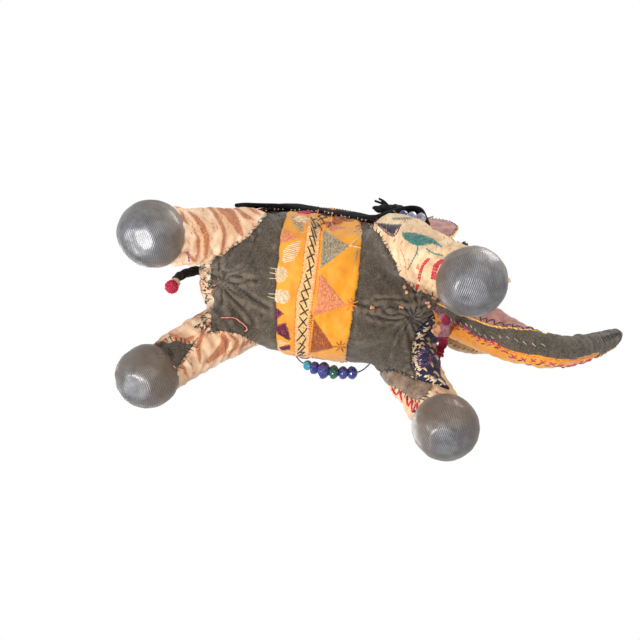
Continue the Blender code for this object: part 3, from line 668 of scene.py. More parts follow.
side_q = np.stack([P0[:, 0], P0[:, 2]], 1)
wide = np.where(P0[:, 1] > OFF[1], petals(side_q, FLANK[1]), petals(side_q, FLANK[-1]))
SKIN.data["petal"] = np.where((FACE > 0.02) & (P0[:, 0] < -60), petals(Q0, PETALS_REAR), wide)
SKIN.data["petal"] = np.where((FACE > 0.02) & (P0[:, 0] >= -60), 9.0, SKIN.data["petal"])
for key, f in FIELDS.items():
    SKIN.data["_f_" + key] = f
for k in range(3):
    SKIN.data["_n%d" % k] = SKIN.normals()[:, k]

PARTS = {}
body_field = np.full(len(P0), 1e3)
for leg in LEGS:
    f = leg_field(P0, leg)
    body_field = np.minimum(body_field, -f)
    PARTS["leg_" + leg] = SKIN.clip(f)
PARTS["torso"] = SKIN.clip(body_field)

# ---------------------------------------------------------------- materials
def rgb(r, g, b):
    """An sRGB colour, 0 to 255, as linear RGBA."""
    f = lambda c: (c / 255 / 12.92) if c <= 10 else ((c / 255 + 0.055) / 1.055) ** 2.4
    return (f(r), f(g), f(b), 1.0)


class Paint:
    """A procedural material that reads the piece's rest place in mm."""

    def __init__(self, name, rough=0.85, sheen=0.0, coat=0.0, metal=0.0, spec=0.5, coat_rough=0.2):
        self.m = bpy.data.materials.new(name)
        self.m.use_nodes = True
        self.t = self.m.node_tree
        self.b = self.t.nodes["Principled BSDF"]
        for key, value in (("Roughness", rough), ("Sheen Weight", sheen), ("Sheen Roughness", 0.5),
                           ("Coat Weight", coat),
                           ("Coat Roughness", coat_rough), ("Metallic", metal), ("Specular IOR Level", spec)):
            self.b.inputs[key].default_value = value
        self.pos = self.add("ShaderNodeAttribute", attribute_name="rest").outputs["Vector"]

    def add(self, kind, ins=None, **props):
        n = self.t.nodes.new(kind)
        for k, v in props.items():
            setattr(n, k, v)
        for k, v in (ins or {}).items():
            if isinstance(v, bpy.types.NodeSocket):
                self.t.links.new(v, n.inputs[k])
            else:
                n.inputs[k].default_value = v
        return n

    def field(self, name):
        return self.add("ShaderNodeAttribute", attribute_name=name).outputs["Fac"]

    def noise(self, size, detail=3.0, rough=0.55, distort=0.0, stretch=None):
        """Noise with features about size mm across."""
        p = self.pos
        if stretch:
            p = self.add("ShaderNodeMapping", {"Vector": p, "Scale": stretch}).outputs[0]
        return self.add("ShaderNodeTexNoise",
                        {"Vector": p, "Scale": 1.0 / size, "Detail": detail, "Roughness": rough,
                         "Distortion": distort}).outputs["Fac"]

    def wave(self, axis, period, distort=0.0, pos=None):
        return self.add("ShaderNodeTexWave",
                        {"Vector": pos or self.pos, "Scale": 0.31416 / period, "Distortion": distort,
                         "Detail": 1.0, "Detail Scale": 1.5},
                        wave_type="BANDS", bands_direction=axis).outputs["Fac"]

    def math(self, op, a, b=0.0):
        return self.add("ShaderNodeMath", {0: a, 1: b}, operation=op).outputs[0]

    def plus(self, base, extra, share):
        return self.math("ADD", base, self.math("MULTIPLY", extra, share))

    def step(self, value, low, high):
        return self.add("ShaderNodeMapRange", {"Value": value, "From Min": low, "From Max": high},
                        interpolation_type="SMOOTHSTEP").outputs[0]

    def mix(self, fac, a, b):
        return self.add("ShaderNodeMix", {0: fac, 6: a, 7: b}, data_type="RGBA").outputs[2]

    def tint(self, base, colour, mask, low, high, share):
        """Lays colour over base, by share where mask has gone from low to high."""
        return self.mix(self.math("MULTIPLY", self.step(mask, low, high), share), base, colour)

    def ramp(self, fac, stops):
        n = self.add("ShaderNodeValToRGB", {"Fac": fac})
        e = n.color_ramp.elements
        e[0].position, e[0].color = stops[0]
        e[1].position, e[1].color = stops[-1]
        for p, c in stops[1:-1]:
            e.new(p).color = c
        return n.outputs["Color"]

    def weave(self, period, distort=0.6):
        """Thread crossings, as a height from 0 to 1."""
        n = self.add("ShaderNodeSeparateXYZ", {"Vector": self.add("ShaderNodeNewGeometry").outputs["Normal"]})
        total = None
        for axis in "XYZ":
            c = n.outputs[axis]
            part = self.math("MULTIPLY", self.wave(axis, period, distort),
                             self.math("SUBTRACT", 1.0, self.math("MULTIPLY", c, c)))
            total = part if total is None else self.math("ADD", total, part)
        return self.math("MULTIPLY", total, 0.5)

    def finish(self, colour, height=None, strength=0.5, distance=0.2, rough=None):
        self.t.links.new(colour, self.b.inputs["Base Color"])
        if rough is not None:
            self.t.links.new(rough, self.b.inputs["Roughness"])
        if height is not None:
            n = self.add("ShaderNodeBump", {"Height": height, "Strength": strength,
                    "Distance": distance * MM})
            self.t.links.new(n.outputs[0], self.b.inputs["Normal"])
        return self.m


def charcoal(paints_fold_shade=False):
    p = Paint("charcoal_painted_fold_shade" if paints_fold_shade else "charcoal_cotton", rough=0.92, sheen=0.25, spec=0.25)
    w = p.weave(0.8, 0.9)
    base = p.ramp(p.noise(17, 5, 0.62), [(0.32, rgb(60, 53, 45)), (0.52, rgb(86, 77, 66)),
            (0.68, rgb(116, 104, 90))])
    slub = p.ramp(p.noise(1.1, 4, 0.7, stretch=(1, 1, 0.25)),
                  [(0.38, rgb(40, 35, 30)), (0.6, rgb(134, 122, 106))])
    c = p.mix(0.5, base, slub)
    c = p.mix(p.step(w, 0.3, 0.75), p.mix(0.55, c, rgb(30, 28, 26)), c)
    c = p.tint(c, rgb(158, 146, 126), p.noise(2.2, 6, 0.75), 0.6, 0.72, 0.6)
    c = p.tint(c, rgb(34, 29, 24), p.noise(1.7, 5, 0.8, 0.5), 0.6, 0.7, 0.6)
    # Painted shade in the fold creases and painted light on the fold ridges.
    if paints_fold_shade:
        c = p.tint(c, rgb(22, 19, 16), p.field("crease"), 0.15, 1.0, 0.62)
        c = p.tint(c, rgb(142, 128, 110), p.field("crease"), -0.2, -0.9, 0.35)
    return p.finish(c, p.plus(w, p.noise(1.6, 5, 0.65), 0.9), 0.75, 0.35)


def silk(name, light, mid, dark, fleck=None):
    p = Paint(name, rough=0.5, sheen=0.35, spec=0.45)
    thread = p.wave("Y", 0.55, 1.0)
    c = p.ramp(p.noise(14, 4, 0.55), [(0.32, dark), (0.52, mid), (0.7, light)])
    c = p.tint(p.mix(0.5, c, dark), c, thread, 0.1, 0.9, 0.3)
    c = p.tint(c, dark, p.noise(0.8, 3, 0.7, stretch=(1.0, 0.12, 0.3)), 0.5, 0.72, 0.3)
    if fleck:
        c = p.tint(c, fleck, p.noise(3.2, 5, 0.7), 0.6, 0.68, 0.7)
    return p.finish(c, p.plus(thread, p.noise(2.5, 4), 0.8), 0.45, 0.18)


def printed(name, grounds, leaf, leaf_dark, line, second=None):
    """A pale cloth with printed leaves, fine stitched lines and worn patches."""
    p = Paint(name, rough=0.85, sheen=0.2, spec=0.3)
    c = p.ramp(p.noise(13, 4, 0.6), [(0.33, grounds[0]), (0.5, grounds[1]), (0.68, grounds[2])])
    d = p.plus(p.field("petal"), p.math("SUBTRACT", p.noise(1.4, 4, 0.7), 0.5), 2.4)
    streak = p.step(p.noise(1.3, 4, 0.7, 0.4, stretch=(0.45, 1.6, 1.0)), 0.36, 0.66)
    lc = p.mix(streak, leaf_dark, leaf)
    if second:
        lc = p.mix(p.step(p.noise(26, 1), 0.49, 0.53), lc, p.mix(streak, second[1], second[0]))
    c = p.tint(c, lc, d, 0.35, -0.3, 0.9)
    edge = p.math("MULTIPLY", p.step(d, 1.15, 0.8), p.step(d, 0.25, 0.6))
    c = p.mix(p.math("MULTIPLY", edge, 0.6), c, line)
    fine = p.step(p.wave("X", 6.5, 9.0), 0.93, 0.985)
    c = p.mix(p.math("MULTIPLY", fine, p.step(p.noise(5, 2), 0.5, 0.56)), c, line)
    w = p.weave(0.62, 0.5)
    c = p.tint(c, p.mix(0.6, c, rgb(120, 78, 52)), w, 0.62, 0.3, 0.28)
    c = p.tint(c, rgb(150, 106, 76), p.noise(7, 6, 0.7), 0.58, 0.75, 0.4)
    return p.finish(c, p.plus(w, p.noise(1.8, 4, 0.65), 0.8), 0.5, 0.25)


def plain(name, low, mid, high, weave=0.6, rough=0.88, sheen=0.25, bump=0.5):
    p = Paint(name, rough=rough, sheen=sheen, spec=0.3)
    c = p.ramp(p.noise(9, 5, 0.62), [(0.32, low), (0.5, mid), (0.7, high)])
    w = p.weave(weave, 0.6)
    c = p.tint(c, low, w, 0.62, 0.3, 0.45)
    c = p.tint(c, high, p.noise(2.4, 6, 0.75), 0.6, 0.72, 0.35)
    return p.finish(c, p.math("ADD", w, p.noise(1.7, 4)), bump, 0.25)


def thread(name, dark, light):
    p = Paint(name, rough=0.6, sheen=0.3, spec=0.4)
    c = p.ramp(p.noise(1.6, 3, 0.6), [(0.35, dark), (0.65, light)])
    return p.finish(c, p.wave("X", 0.3, 2.0), 0.4, 0.06)


def net():
    p = Paint("silver_net", rough=0.4, sheen=0.15, coat=0.35, metal=0.35, spec=0.6, coat_rough=0.16)
    uv = p.add("ShaderNodeCombineXYZ", {"X": p.field("net_u"), "Y": p.field("net_v")}).outputs[0]
    a, b = p.wave("X", 1.35, 0.5, uv), p.wave("Y", 1.0, 0.5, uv)
    ribs = p.math("MAXIMUM", a, p.math("MULTIPLY", b, 0.8))
    under = p.ramp(p.noise(12, 4, 0.6), [(0.3, rgb(50, 49, 50)), (0.5, rgb(78, 78, 80)),
            (0.7, rgb(120, 121, 126))])
    over = p.ramp(p.noise(8, 4, 0.6), [(0.3, rgb(100, 98, 98)), (0.7, rgb(160, 160, 166))])
    rim = p.step(p.field("net_rim"), 0.3, 0.8)
    under = p.mix(p.math("MULTIPLY", rim, 0.75), under, rgb(70, 58, 46))
    over = p.mix(p.math("MULTIPLY", rim, 0.7), over, rgb(142, 122, 100))
    c = p.mix(p.step(ribs, 0.45, 0.9), under, over)
    c = p.tint(c, rgb(66, 58, 52), p.noise(6, 5, 0.7), 0.6, 0.74, 0.45)
    r = p.add("ShaderNodeMapRange", {"Value": p.noise(5, 4), "From Min": 0.3, "From Max": 0.7, "To Min": 0.3,
            "To Max": 0.5}).outputs[0]
    return p.finish(c, p.plus(ribs, p.noise(2.5, 3), 0.8), 0.55, 0.28, rough=r)


def glass(name, dark, light, fleck):
    p = Paint(name, rough=0.12, coat=0.8, spec=0.6, coat_rough=0.04)
    c = p.ramp(p.noise(2.6, 4, 0.6, 0.8), [(0.35, dark), (0.6, light), (0.8, fleck)])
    return p.finish(c, p.noise(1.2, 3), 0.12, 0.15)


def wool(name, dark, light):
    p = Paint(name, rough=0.95, sheen=0.5, spec=0.2)
    return p.finish(p.ramp(p.noise(0.9, 3), [(0.3, dark), (0.7, light)]), p.noise(0.35, 3), 0.6, 0.2)


M = {
    "charcoal": charcoal(),
    "band": silk("marigold_silk", rgb(240, 174, 8), rgb(233, 160, 3), rgb(214, 134, 1)),
    "yellow": silk("marigold_trunk_silk", rgb(250, 198, 64), rgb(240, 170, 22), rgb(205, 122, 16),
                   rgb(150, 44, 86)),
    "rust": printed("rust_print", (rgb(226, 184, 150), rgb(242, 208, 174), rgb(252, 228, 200)),
                    rgb(206, 130, 90), rgb(160, 88, 54), rgb(226, 150, 96)),
    "cream": printed("cream_print", (rgb(212, 178, 138), rgb(232, 202, 160), rgb(244, 222, 186)),
                     rgb(62, 118, 104), rgb(24, 70, 74), rgb(222, 120, 90),
                     (rgb(202, 40, 58), rgb(130, 18, 34))),
    "black": plain("black_cotton", rgb(6, 6, 8), rgb(12, 12, 15), rgb(26, 25, 29), sheen=0.04),
    "navy": plain("navy_cotton", rgb(16, 18, 44), rgb(28, 30, 66), rgb(48, 50, 96)),
    "brown": plain("brown_cotton", rgb(92, 74, 60), rgb(136, 114, 96), rgb(182, 158, 136), 0.9),
    # gusset charcoal with painted shade in its creases and painted light on its ridges
    "gusset": charcoal(True),
    "mauve": plain("mauve_cotton", rgb(142, 92, 88), rgb(176, 122, 114), rgb(206, 160, 148), 0.75),
    "magenta": plain("magenta_cotton", rgb(96, 4, 38), rgb(146, 14, 62), rgb(190, 42, 96)),
    "creamcloth": plain("cream_cotton", rgb(206, 170, 130), rgb(232, 202, 164), rgb(250, 230, 200)),
    "lip": plain("lip_cotton", rgb(150, 90, 62), rgb(214, 158, 116), rgb(240, 204, 164)),
    "net": net(),
    "wool": wool("magenta_wool", rgb(150, 4, 44), rgb(232, 24, 92)),
    "eye": glass("black_bead", rgb(6, 6, 8), rgb(16, 15, 18), rgb(40, 38, 44)),
    "cyan_bead": glass("cyan_bead", rgb(20, 110, 150), rgb(52, 168, 196), rgb(180, 226, 232)),
    "indigo_bead": glass("indigo_bead", rgb(30, 32, 96), rgb(62, 68, 150), rgb(120, 124, 188)),
    "green_bead": glass("green_bead", rgb(8, 50, 44), rgb(24, 104, 84), rgb(110, 176, 150)),
    "grey_bead": glass("grey_bead", rgb(128, 126, 150), rgb(176, 174, 196), rgb(226, 224, 232)),
    "brass": Paint("brass_cap", rough=0.35, metal=0.9).m,
}
# sewing threads: the material, its dark and light colour, and a CAD material name for them
THREADS = {
    "t_black": ("black_thread", (10, 9, 10), (38, 34, 34), "black_cotton"),
    "t_ivory": ("ivory_thread", (232, 208, 166), (255, 240, 208), "cream_cotton"),
    "t_cream": ("cream_thread", (200, 170, 128), (250, 232, 200), "cream_cotton"),
    "t_salmon": ("salmon_thread", (196, 106, 66), (240, 166, 116), "rust_print"),
    "t_orange": ("orange_thread", (206, 92, 22), (246, 152, 52), "marigold_silk"),
    "t_rust": ("rust_thread", (126, 52, 16), (190, 100, 40), "rust_print"),
    "t_sage": ("sage_thread", (116, 112, 96), (190, 186, 164), "cream_cotton"),
    "t_magenta": ("magenta_thread", (150, 10, 60), (214, 48, 108), "magenta_wool"),
    "t_pink": ("pink_thread", (216, 110, 104), (248, 176, 160), "cream_print"),
    "t_teal": ("teal_thread", (20, 84, 84), (70, 150, 138), "cream_print"),
    "t_red": ("crimson_thread", (168, 10, 34), (226, 44, 66), "magenta_wool"),
    "t_yellow": ("yellow_thread", (222, 160, 36), (255, 214, 92), "marigold_silk"),
    "t_silver": ("silver_thread", (150, 150, 150), (226, 226, 230), "silver_net"),
    "t_sand": ("sand_thread", (214, 160, 92), (250, 214, 150), "cream_cotton"),
    "t_greygreen": ("grey_green_thread", (92, 100, 84), (150, 156, 132), "cream_cotton"),
    "t_navy": ("navy_thread", (16, 13, 36), (48, 38, 84), "black_cotton"),
    "t_plum": ("plum_thread", (70, 4, 44), (128, 20, 82), "magenta_wool"),
    "t_indigo": ("indigo_thread", (34, 32, 84), (84, 80, 148), "black_cotton"),
    "t_olive": ("olive_thread", (54, 50, 30), (96, 88, 56), "charcoal_cotton"),
    "t_purple": ("purple_thread", (82, 36, 104), (150, 96, 176), "mauve_cotton"),
}
THREAD_SLOT = {key: row[3] for key, row in THREADS.items()}
M.update((key, thread(name, rgb(*dark), rgb(*light))) for key, (name, dark, light, _) in THREADS.items())


def wire(tree, *links):
    """Joins nodes, each link given as node, output, node, input."""
    for giver, out, taker, into in links:
        tree.links.new(giver.outputs[out], taker.inputs[into])


brass = M["brass"].node_tree
spots, tones = brass.nodes.new("ShaderNodeTexNoise"), brass.nodes.new("ShaderNodeValToRGB")
spots.inputs["Scale"].default_value = 900
tones.color_ramp.elements[0].color, tones.color_ramp.elements[1].color = rgb(120, 84, 34), rgb(226, 182, 96)
wire(brass, (spots, "Fac", tones, "Fac"), (tones, "Color", brass.nodes["Principled BSDF"], "Base Color"))

# ---------------------------------------------------------------- stage
def area_light(name, place, aim, size, watts, colour=(1, 1, 1)):
    data = bpy.data.lights.new(name, "AREA")
    data.shape, data.size, data.energy, data.color = "DISK", size, watts, colour
    obj = bpy.data.objects.new(name, data)
    bpy.context.scene.collection.objects.link(obj)
    obj.location = Vector(place)
    obj.rotation_euler = (Vector(aim) - Vector(place)).to_track_quat("-Z", "Y").to_euler()


MID = (0, 0, 0.11)
area_light("key_below", (-0.42, 0.10, -0.80), MID, 0.34, 9)
area_light("fill_below", (0.55, -0.75, -0.55), MID, 0.9, 4, (1, 0.97, 0.92))
area_light("key_above", (0.55, -0.8, 1.0), MID, 0.7, 9)
area_light("fill_above", (-0.8, 0.7, 0.9), MID, 0.9, 6)
WORLD_LIGHT, WORLD_SEEN = 0.5, 1.0       # what the world gives, and what the camera sees of it
world = bpy.data.worlds.new("studio")
bpy.context.scene.world = world
world.use_nodes = True
wt = world.node_tree
giving, shown = wt.nodes["Background"], wt.nodes.new("ShaderNodeBackground")
for node, strength in ((giving, WORLD_LIGHT), (shown, WORLD_SEEN)):
    node.inputs["Color"].default_value = (1, 1, 1, 1)
    node.inputs["Strength"].default_value = strength
rays, either = wt.nodes.new("ShaderNodeLightPath"), wt.nodes.new("ShaderNodeMixShader")
wire(wt, (rays, "Is Camera Ray", either, 0), (giving, 0, either, 1), (shown, 0, either, 2),
     (either, 0, wt.nodes["World Output"], 0))

# a disc that cannot be seen from below, throws no shade and fades out towards its rim
FLOOR_R, SPOKES = 1.2, 64
FADE_FROM, FADE_TO = 0.2, 0.8
floor_mesh = bpy.data.meshes.new("floor")
spin = np.linspace(0, 2 * np.pi, SPOKES, endpoint=False)
floor_mesh.from_pydata([(0, 0, 0)] + [(FLOOR_R * math.cos(a), FLOOR_R * math.sin(a), 0) for a in spin], [],
                       [(0, 1 + k, 1 + (k + 1) % SPOKES) for k in range(SPOKES)])
floor = bpy.data.objects.new("floor", floor_mesh)
bpy.context.scene.collection.objects.link(floor)
fm = bpy.data.materials.new("floor")
fm.use_nodes = True
ft = fm.node_tree
geo, rays, clear, either, reach, fade = (ft.nodes.new("ShaderNode" + kind) for kind in (
    "NewGeometry", "LightPath", "BsdfTransparent", "MixShader", "VectorMath", "MapRange"))
tests = [ft.nodes.new("ShaderNodeMath") for _ in range(3)]
for node in tests:
    node.operation = "MAXIMUM"
reach.operation, fade.interpolation_type = "LENGTH", "SMOOTHERSTEP"
fade.inputs["From Min"].default_value, fade.inputs["From Max"].default_value = FADE_FROM, FADE_TO
matte = ft.nodes["Principled BSDF"]
matte.inputs["Base Color"].default_value = rgb(236, 234, 230)
matte.inputs["Roughness"].default_value = 0.9
wire(ft, (geo, "Backfacing", tests[0], 0), (rays, "Is Shadow Ray", tests[0], 1),
     (tests[0], 0, tests[1], 0), (rays, "Is Glossy Ray", tests[1], 1),
     (geo, "Position", reach, 0), (reach, "Value", fade, "Value"),
     (tests[1], 0, tests[2], 0), (fade, "Result", tests[2], 1),
     (tests[2], 0, either, 0), (matte, 0, either, 1), (clear, 0, either, 2),
     (either, 0, ft.nodes["Material Output"], 0))
floor_mesh.materials.append(fm)

# ---------------------------------------------------------------- skins
def along(skin):
    return np.stack([skin.data["_n%d" % k] for k in range(3)], 1)


SIDE_SEAM = 54                           # the flank cloths meet this far behind the origin
torso = PARTS["torso"]
head = torso.clip(torso.data["_f_head"])
rest_of = torso.clip(-torso.data["_f_head"])
rear, front = (rest_of.clip(side * (rest_of.v[:, 0] + SIDE_SEAM)) for side in (-1, 1))
for name, skin, cloth, slot, nodes in (
        ("skin_rear", rear, "rust", "rust_print",
         ("side_cloth_right_rear", "side_cloth_left_rear", "back_cloth", "torso_wadding")),
        ("skin_front", front, "cream", "cream_print", ("side_cloth_right_front", "side_cloth_left_front")),
        ("head_right", head.clip(OFF[1] - head.v[:, 1]), "mauve", "mauve_cotton",
         ("head_cloth_right", "head_wadding")),
        ("head_left", head.clip(head.v[:, 1] - OFF[1]), "yellow", "marigold_silk", ("head_cloth_left",))):
    o = make(name, skin.big().capped(), M[cloth], "torso", slot)
    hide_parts(*nodes)
for leg in LEGS:
    o = make("leg_" + leg, PARTS["leg_" + leg].big().capped(), M["rust" if "hind" in leg else "cream"],
             "leg_" + leg,
             "rust_print" if "hind" in leg else "cream_print")
    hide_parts("leg_sleeve_" + leg, "leg_wadding_" + leg)

TOPS = [(b, p.v, p.t) for b, p in PARTS.items()]


RIM = 1.3                                # the width of a sewn-on cloth's rounded edge


def panel(name, key, material, slot, height, stands_for):
    """A sewn-on cloth: the skin inside a field, raised, with rounded edges."""
    first = True
    for body, part in PARTS.items():
        f = part.data["_f_" + key]
        if (f > 0.4).sum() < 40:
            continue
        top = part.clip(f).big(30)
        if len(top.t) < 40:
            continue
        d = np.clip(top.data["_f_" + key], 0, None)
        n = along(top)
        top.v = top.v + n * ((height + 0.45) * np.sqrt(np.clip(d / RIM, 0, 1)) - 0.45)[:, None]
        TOPS.append((body, top.v, top.t))
        o = make(name if body == "torso" else name + "_on_" + body, top.thick(1.4), material, body, slot)
        if first and stands_for:
            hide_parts(*stands_for)
            first = False


for name, key, cloth, slot, height, nodes in (
        ("gusset_rear_cloth", "gusset_rear", "gusset", "charcoal_cotton", 0.75, ("gusset_rear",)),
        ("gusset_front_cloth", "gusset_front", "gusset", "charcoal_cotton", 0.75, ("gusset_front",)),
        ("belly_band_cloth", "band", "band", "marigold_silk", 1.25, ("belly_band",)),
        ("navy_patch", "navy", "navy", "black_cotton", 1.15, ()),
        ("magenta_patch", "magenta", "magenta", "magenta_wool", 1.5, ()),
        ("shin_strip", "lf_strip", "brown", "charcoal_cotton", 1.0, ()),
        ("ankle_patch", "lh_patch", "charcoal", "charcoal_cotton", 0.9, ())):
    panel(name, key, M[cloth], slot, height, nodes)

# ---------------------------------------------------------------- feet
def facets(d, seed, count=16, depth=0.965):
    """A ball's radius factor where a few soft flats are pressed into it."""
    r = np.random.default_rng(seed)
    n = r.normal(size=(count, 3))
    n /= np.linalg.norm(n, axis=1)[:, None]
    n = np.concatenate([n, [[0, 0, -1.0]]])
    cut = np.concatenate([r.uniform(depth, 0.995, count), [0.93]])
    flat = cut / np.maximum(d @ n.T, 0.2)
    k = 26.0
    return -np.log(np.exp(-k * flat).sum(1) + np.exp(-k)) / k + 0.02


def foot(leg, seed):
    """A netted ball with the thread that ties it."""
    hip, centre, _, _ = LEGS[leg]
    rings, around = 72, 96
    th = np.linspace(0.012, np.pi - 0.5, rings)
    ph = np.linspace(0, 2 * np.pi, around, endpoint=False)
    up = unit(hip - centre)
    pole = unit(-up * 0.45 + np.array([0, 0, -0.8]))
    a = unit(np.cross(pole, [0.3, 1.0, 0.1]))
    b = np.cross(pole, a)
    d = (np.cos(th)[:, None, None] * pole + np.sin(th)[:, None, None]
         * (np.cos(ph)[None, :, None] * a + np.sin(ph)[None, :, None] * b))
    flat = d.reshape(-1, 3)
    fac = facets(flat, seed)
    tuck = smooth01((np.repeat(th, around) - 2.05) / 0.5)
    wave = np.sin(17 * np.tile(ph, rings) + 2 * np.sin(3 * np.tile(ph, rings))) * tuck * 0.028
    rad = FOOT_R * np.minimum(fac, 1.0) * (1 + wave) + 0.16 * sines(flat * 24, 9, seed + 40)
    p = centre + flat * rad[:, None]
    low = p[:, 2]
    p[:, 2] = np.where(low < SOLE, SOLE * np.exp((low - SOLE) / SOLE), low)
    drop = SOLE * math.exp(-1.35)
    p[:, 2] = np.maximum(p[:, 2] - drop, 0.0) + np.where(low > SOLE, drop * smooth01((low - SOLE) / 12), 0)
    skin = facing_out(grid(p.reshape(rings, around, 3)))
    r = np.repeat(th, around) * FOOT_R
    pad = lambda x: np.concatenate([x, [x[0], x[-1]]])
    skin.data["net_u"] = pad(r * np.cos(np.tile(ph, rings) + 0.5))
    skin.data["net_v"] = pad(r * np.sin(np.tile(ph, rings) + 0.5))
    skin.data["net_rim"] = pad(np.repeat(th, around) / 1.9) + (0.2 if leg.startswith("left") else -0.04)
    o = make("foot_" + leg, skin, M["net"], None, "silver_net")
    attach(o, "leg_" + leg)
    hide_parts("foot_cover_" + leg, "foot_wad_" + leg)
    # the black thread that ties the net's gathered edge round the ankle
    t = np.linspace(0, 2 * np.pi, 90)
    u = unit(np.cross(up, [0, 1.0, 0]))
    w = np.cross(up, u)
    at = FOOT_R * math.cos(ANKLE)
    turns = []
    for k in range(2):
        rr = FOOT_R * math.sin(ANKLE) + 2.2 + 0.3 * np.sin(17 * t + k)
        ring = centre + up * (at + 1.0 * k) + (np.cos(t) * rr)[:, None] * u + (np.sin(t) * rr)[:, None] * w
        turns.append(pipe(ring, 0.45, 6))
    knot = centre + up * at + u * (FOOT_R * math.sin(ANKLE) + 2.4)
    for k in range(4):
        a0 = unit(RNG.normal(size=3))
        turns.append(pipe(*rounded([knot, knot + a0 * 1.6 + u * 0.8], 0.55), sides=6))
    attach(make("foot_tie_" + leg, merge(turns), M["t_black"], None, "black_cotton"), "leg_" + leg)


for k, leg in enumerate(LEGS):
    foot(leg, 50 + k)

# ---------------------------------------------------------------- trunk
tk = curve(np.array([[x, z, r] for x, z, r in TRUNK]) + [OFF[0], 0, 0], 40)
step = np.concatenate([[0], np.cumsum(np.linalg.norm(np.diff(tk[:, :2], axis=0), axis=1))])
TRUNK_LEN = step[-1]
ts = np.arange(0, TRUNK_LEN, 1.15)
tk = np.stack([np.interp(ts, step, tk[:, k]) for k in range(3)], 1)
tan = np.gradient(tk[:, :2], axis=0)
tan /= np.linalg.norm(tan, axis=1)[:, None]
under = np.stack([tan[:, 1], -tan[:, 0]], 1)
TIP_S = 0.78 * TRUNK_LEN


def trunk_radius(s, a):
    r = np.interp(s, ts, tk[:, 2])
    ring = 0.32 * np.sin(s / 4.1 * np.pi + 1.2 * np.sin(a) + 1.5 * np.sin(s / 23))
    q = np.stack([s, r * np.cos(a), r * np.sin(a)], -1).reshape(-1, 3)
    return r * (1 - 0.03 * np.cos(2 * a)) + ring * np.minimum(1, r / 12) + 0.5 * sines(q, 17,
            61).reshape(np.shape(s)) + 0.2 * sines(q, 6, 62).reshape(np.shape(s))


def trunk_at(s, a, lift=0.0):
    """A point of the trunk's surface, s mm along it and a radians from its underside to the left."""
    s, a = np.asarray(s, float), np.asarray(a, float)
    x, z = np.interp(s, ts, tk[:, 0]), np.interp(s, ts, tk[:, 1])
    nx, nz = np.interp(s, ts, under[:, 0]), np.interp(s, ts, under[:, 1])
    r = trunk_radius(s, a) + lift
    return np.stack([x + nx * np.cos(a) * r, OFF[1] + np.sin(a) * r, z + nz * np.cos(a) * r], -1)


around = 72
S, A = np.meshgrid(ts, np.linspace(-np.pi, np.pi, around, endpoint=False), indexing="ij")
trunk = facing_out(grid(trunk_at(S, A)))
pad = lambda x: np.concatenate([x.ravel(), [x[0].mean(), x[-1].mean()]])
trunk.data["_s"], a_all = pad(S), pad(A)
r_all = np.interp(trunk.data["_s"], ts, tk[:, 2])
arc = a_all * r_all


def strip_off(s):
    """How far the strip's middle lies towards the mauve side."""
    return 3.4 + 7.5 * smooth01((s - 70) / 60) - 1.5 * smooth01((40 - s) / 30)


def strip_half(s):
    """Half the dark strip's width: narrow at the head, all round near the tip."""
    return 3.9 + 1.6 * smooth01((s - 20) / 60) + 6.5 * smooth01((s - 70) / 60) + 46 * smooth01((s
            - TIP_S) / 16) ** 1.5


s_all = trunk.data["_s"]
from_strip = arc + strip_off(s_all)
trunk.data["_f_strip"] = strip_half(s_all) - np.abs(from_strip) + 0.5 * np.sin(s_all / 5) + 0.3 * np.sin(s_all / 2.1)
trunk.data["_f_left"] = np.minimum(from_strip, np.pi * r_all - arc) - 0.2
trunk.data["petal"] = np.full(len(trunk.v), 9.0)
for k in range(3):
    trunk.data["_n%d" % k] = trunk.normals()[:, k]
CUT_S = 0.60 * TRUNK_LEN
HINGE["trunk_root_half"] = ("torso", "trunk", d2r(107, 0, 150) + [1, 0, -3], d2r(113, 0, 124))
HINGE["trunk_tip_half"] = ("trunk", "trunk_tip", d2r(170, 0, 65.5), d2r(200, 0, 73))
HALVES = {"trunk_root_half": trunk.clip(CUT_S - trunk.data["_s"]),
          "trunk_tip_half": trunk.clip(trunk.data["_s"] - CUT_S)}


def trunk_panel(name, field, material, slot, height, stands_for):
    for half, part in HALVES.items():
        f = part.data[field]
        if (f > 0.4).sum() < 30:
            continue
        top = part.clip(f).big(30)
        if not len(top.t):
            continue
        d = np.clip(top.data[field], 0, None)
        top.v = top.v + along(top) * ((height + 0.4) * np.sqrt(np.clip(d / RIM, 0, 1)) - 0.4)[:, None]
        o = make(name + ("_root" if half == "trunk_root_half" else "_tip"), top.thick(1.1), material, half,
                 slot)
        if half in stands_for:
            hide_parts(*stands_for[half])


for half, part in HALVES.items():
    o = make("trunk_skin" + ("_root" if half == "trunk_root_half" else "_tip"), part.big().capped(),
             M["mauve"], half, "mauve_cotton")
    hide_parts(*(("trunk_cloth_right", "trunk_wadding") if half == "trunk_root_half"
                     else ("trunk_tip_wadding",)))
trunk_panel("trunk_silk", "_f_left", M["yellow"], "marigold_silk", 0.5,
            stands_for={"trunk_root_half": ["trunk_cloth_left"]})
trunk_panel("trunk_dark", "_f_strip", M["charcoal"], "charcoal_cotton", 1.1,
            stands_for={"trunk_root_half": ["trunk_strip"], "trunk_tip_half": ["trunk_tip_sleeve"]})

# ---------------------------------------------------------------- ears, tusks, eyes, lip
def ear_edge(angle):
    """The outline's radius, as a share of the ear's."""
    return 1 + 0.035 * np.sin(7 * angle) + 0.05 * np.cos(2 * angle - 0.6)


def ear_curl(q):
    """How far the ear's middle leaves its plane."""
    return 1.4 * np.sin(q[:, 2] / 13 + 0.6) + 0.5 * sines(q, 14, 71) + 0.25 * sines(q, 6, 72)


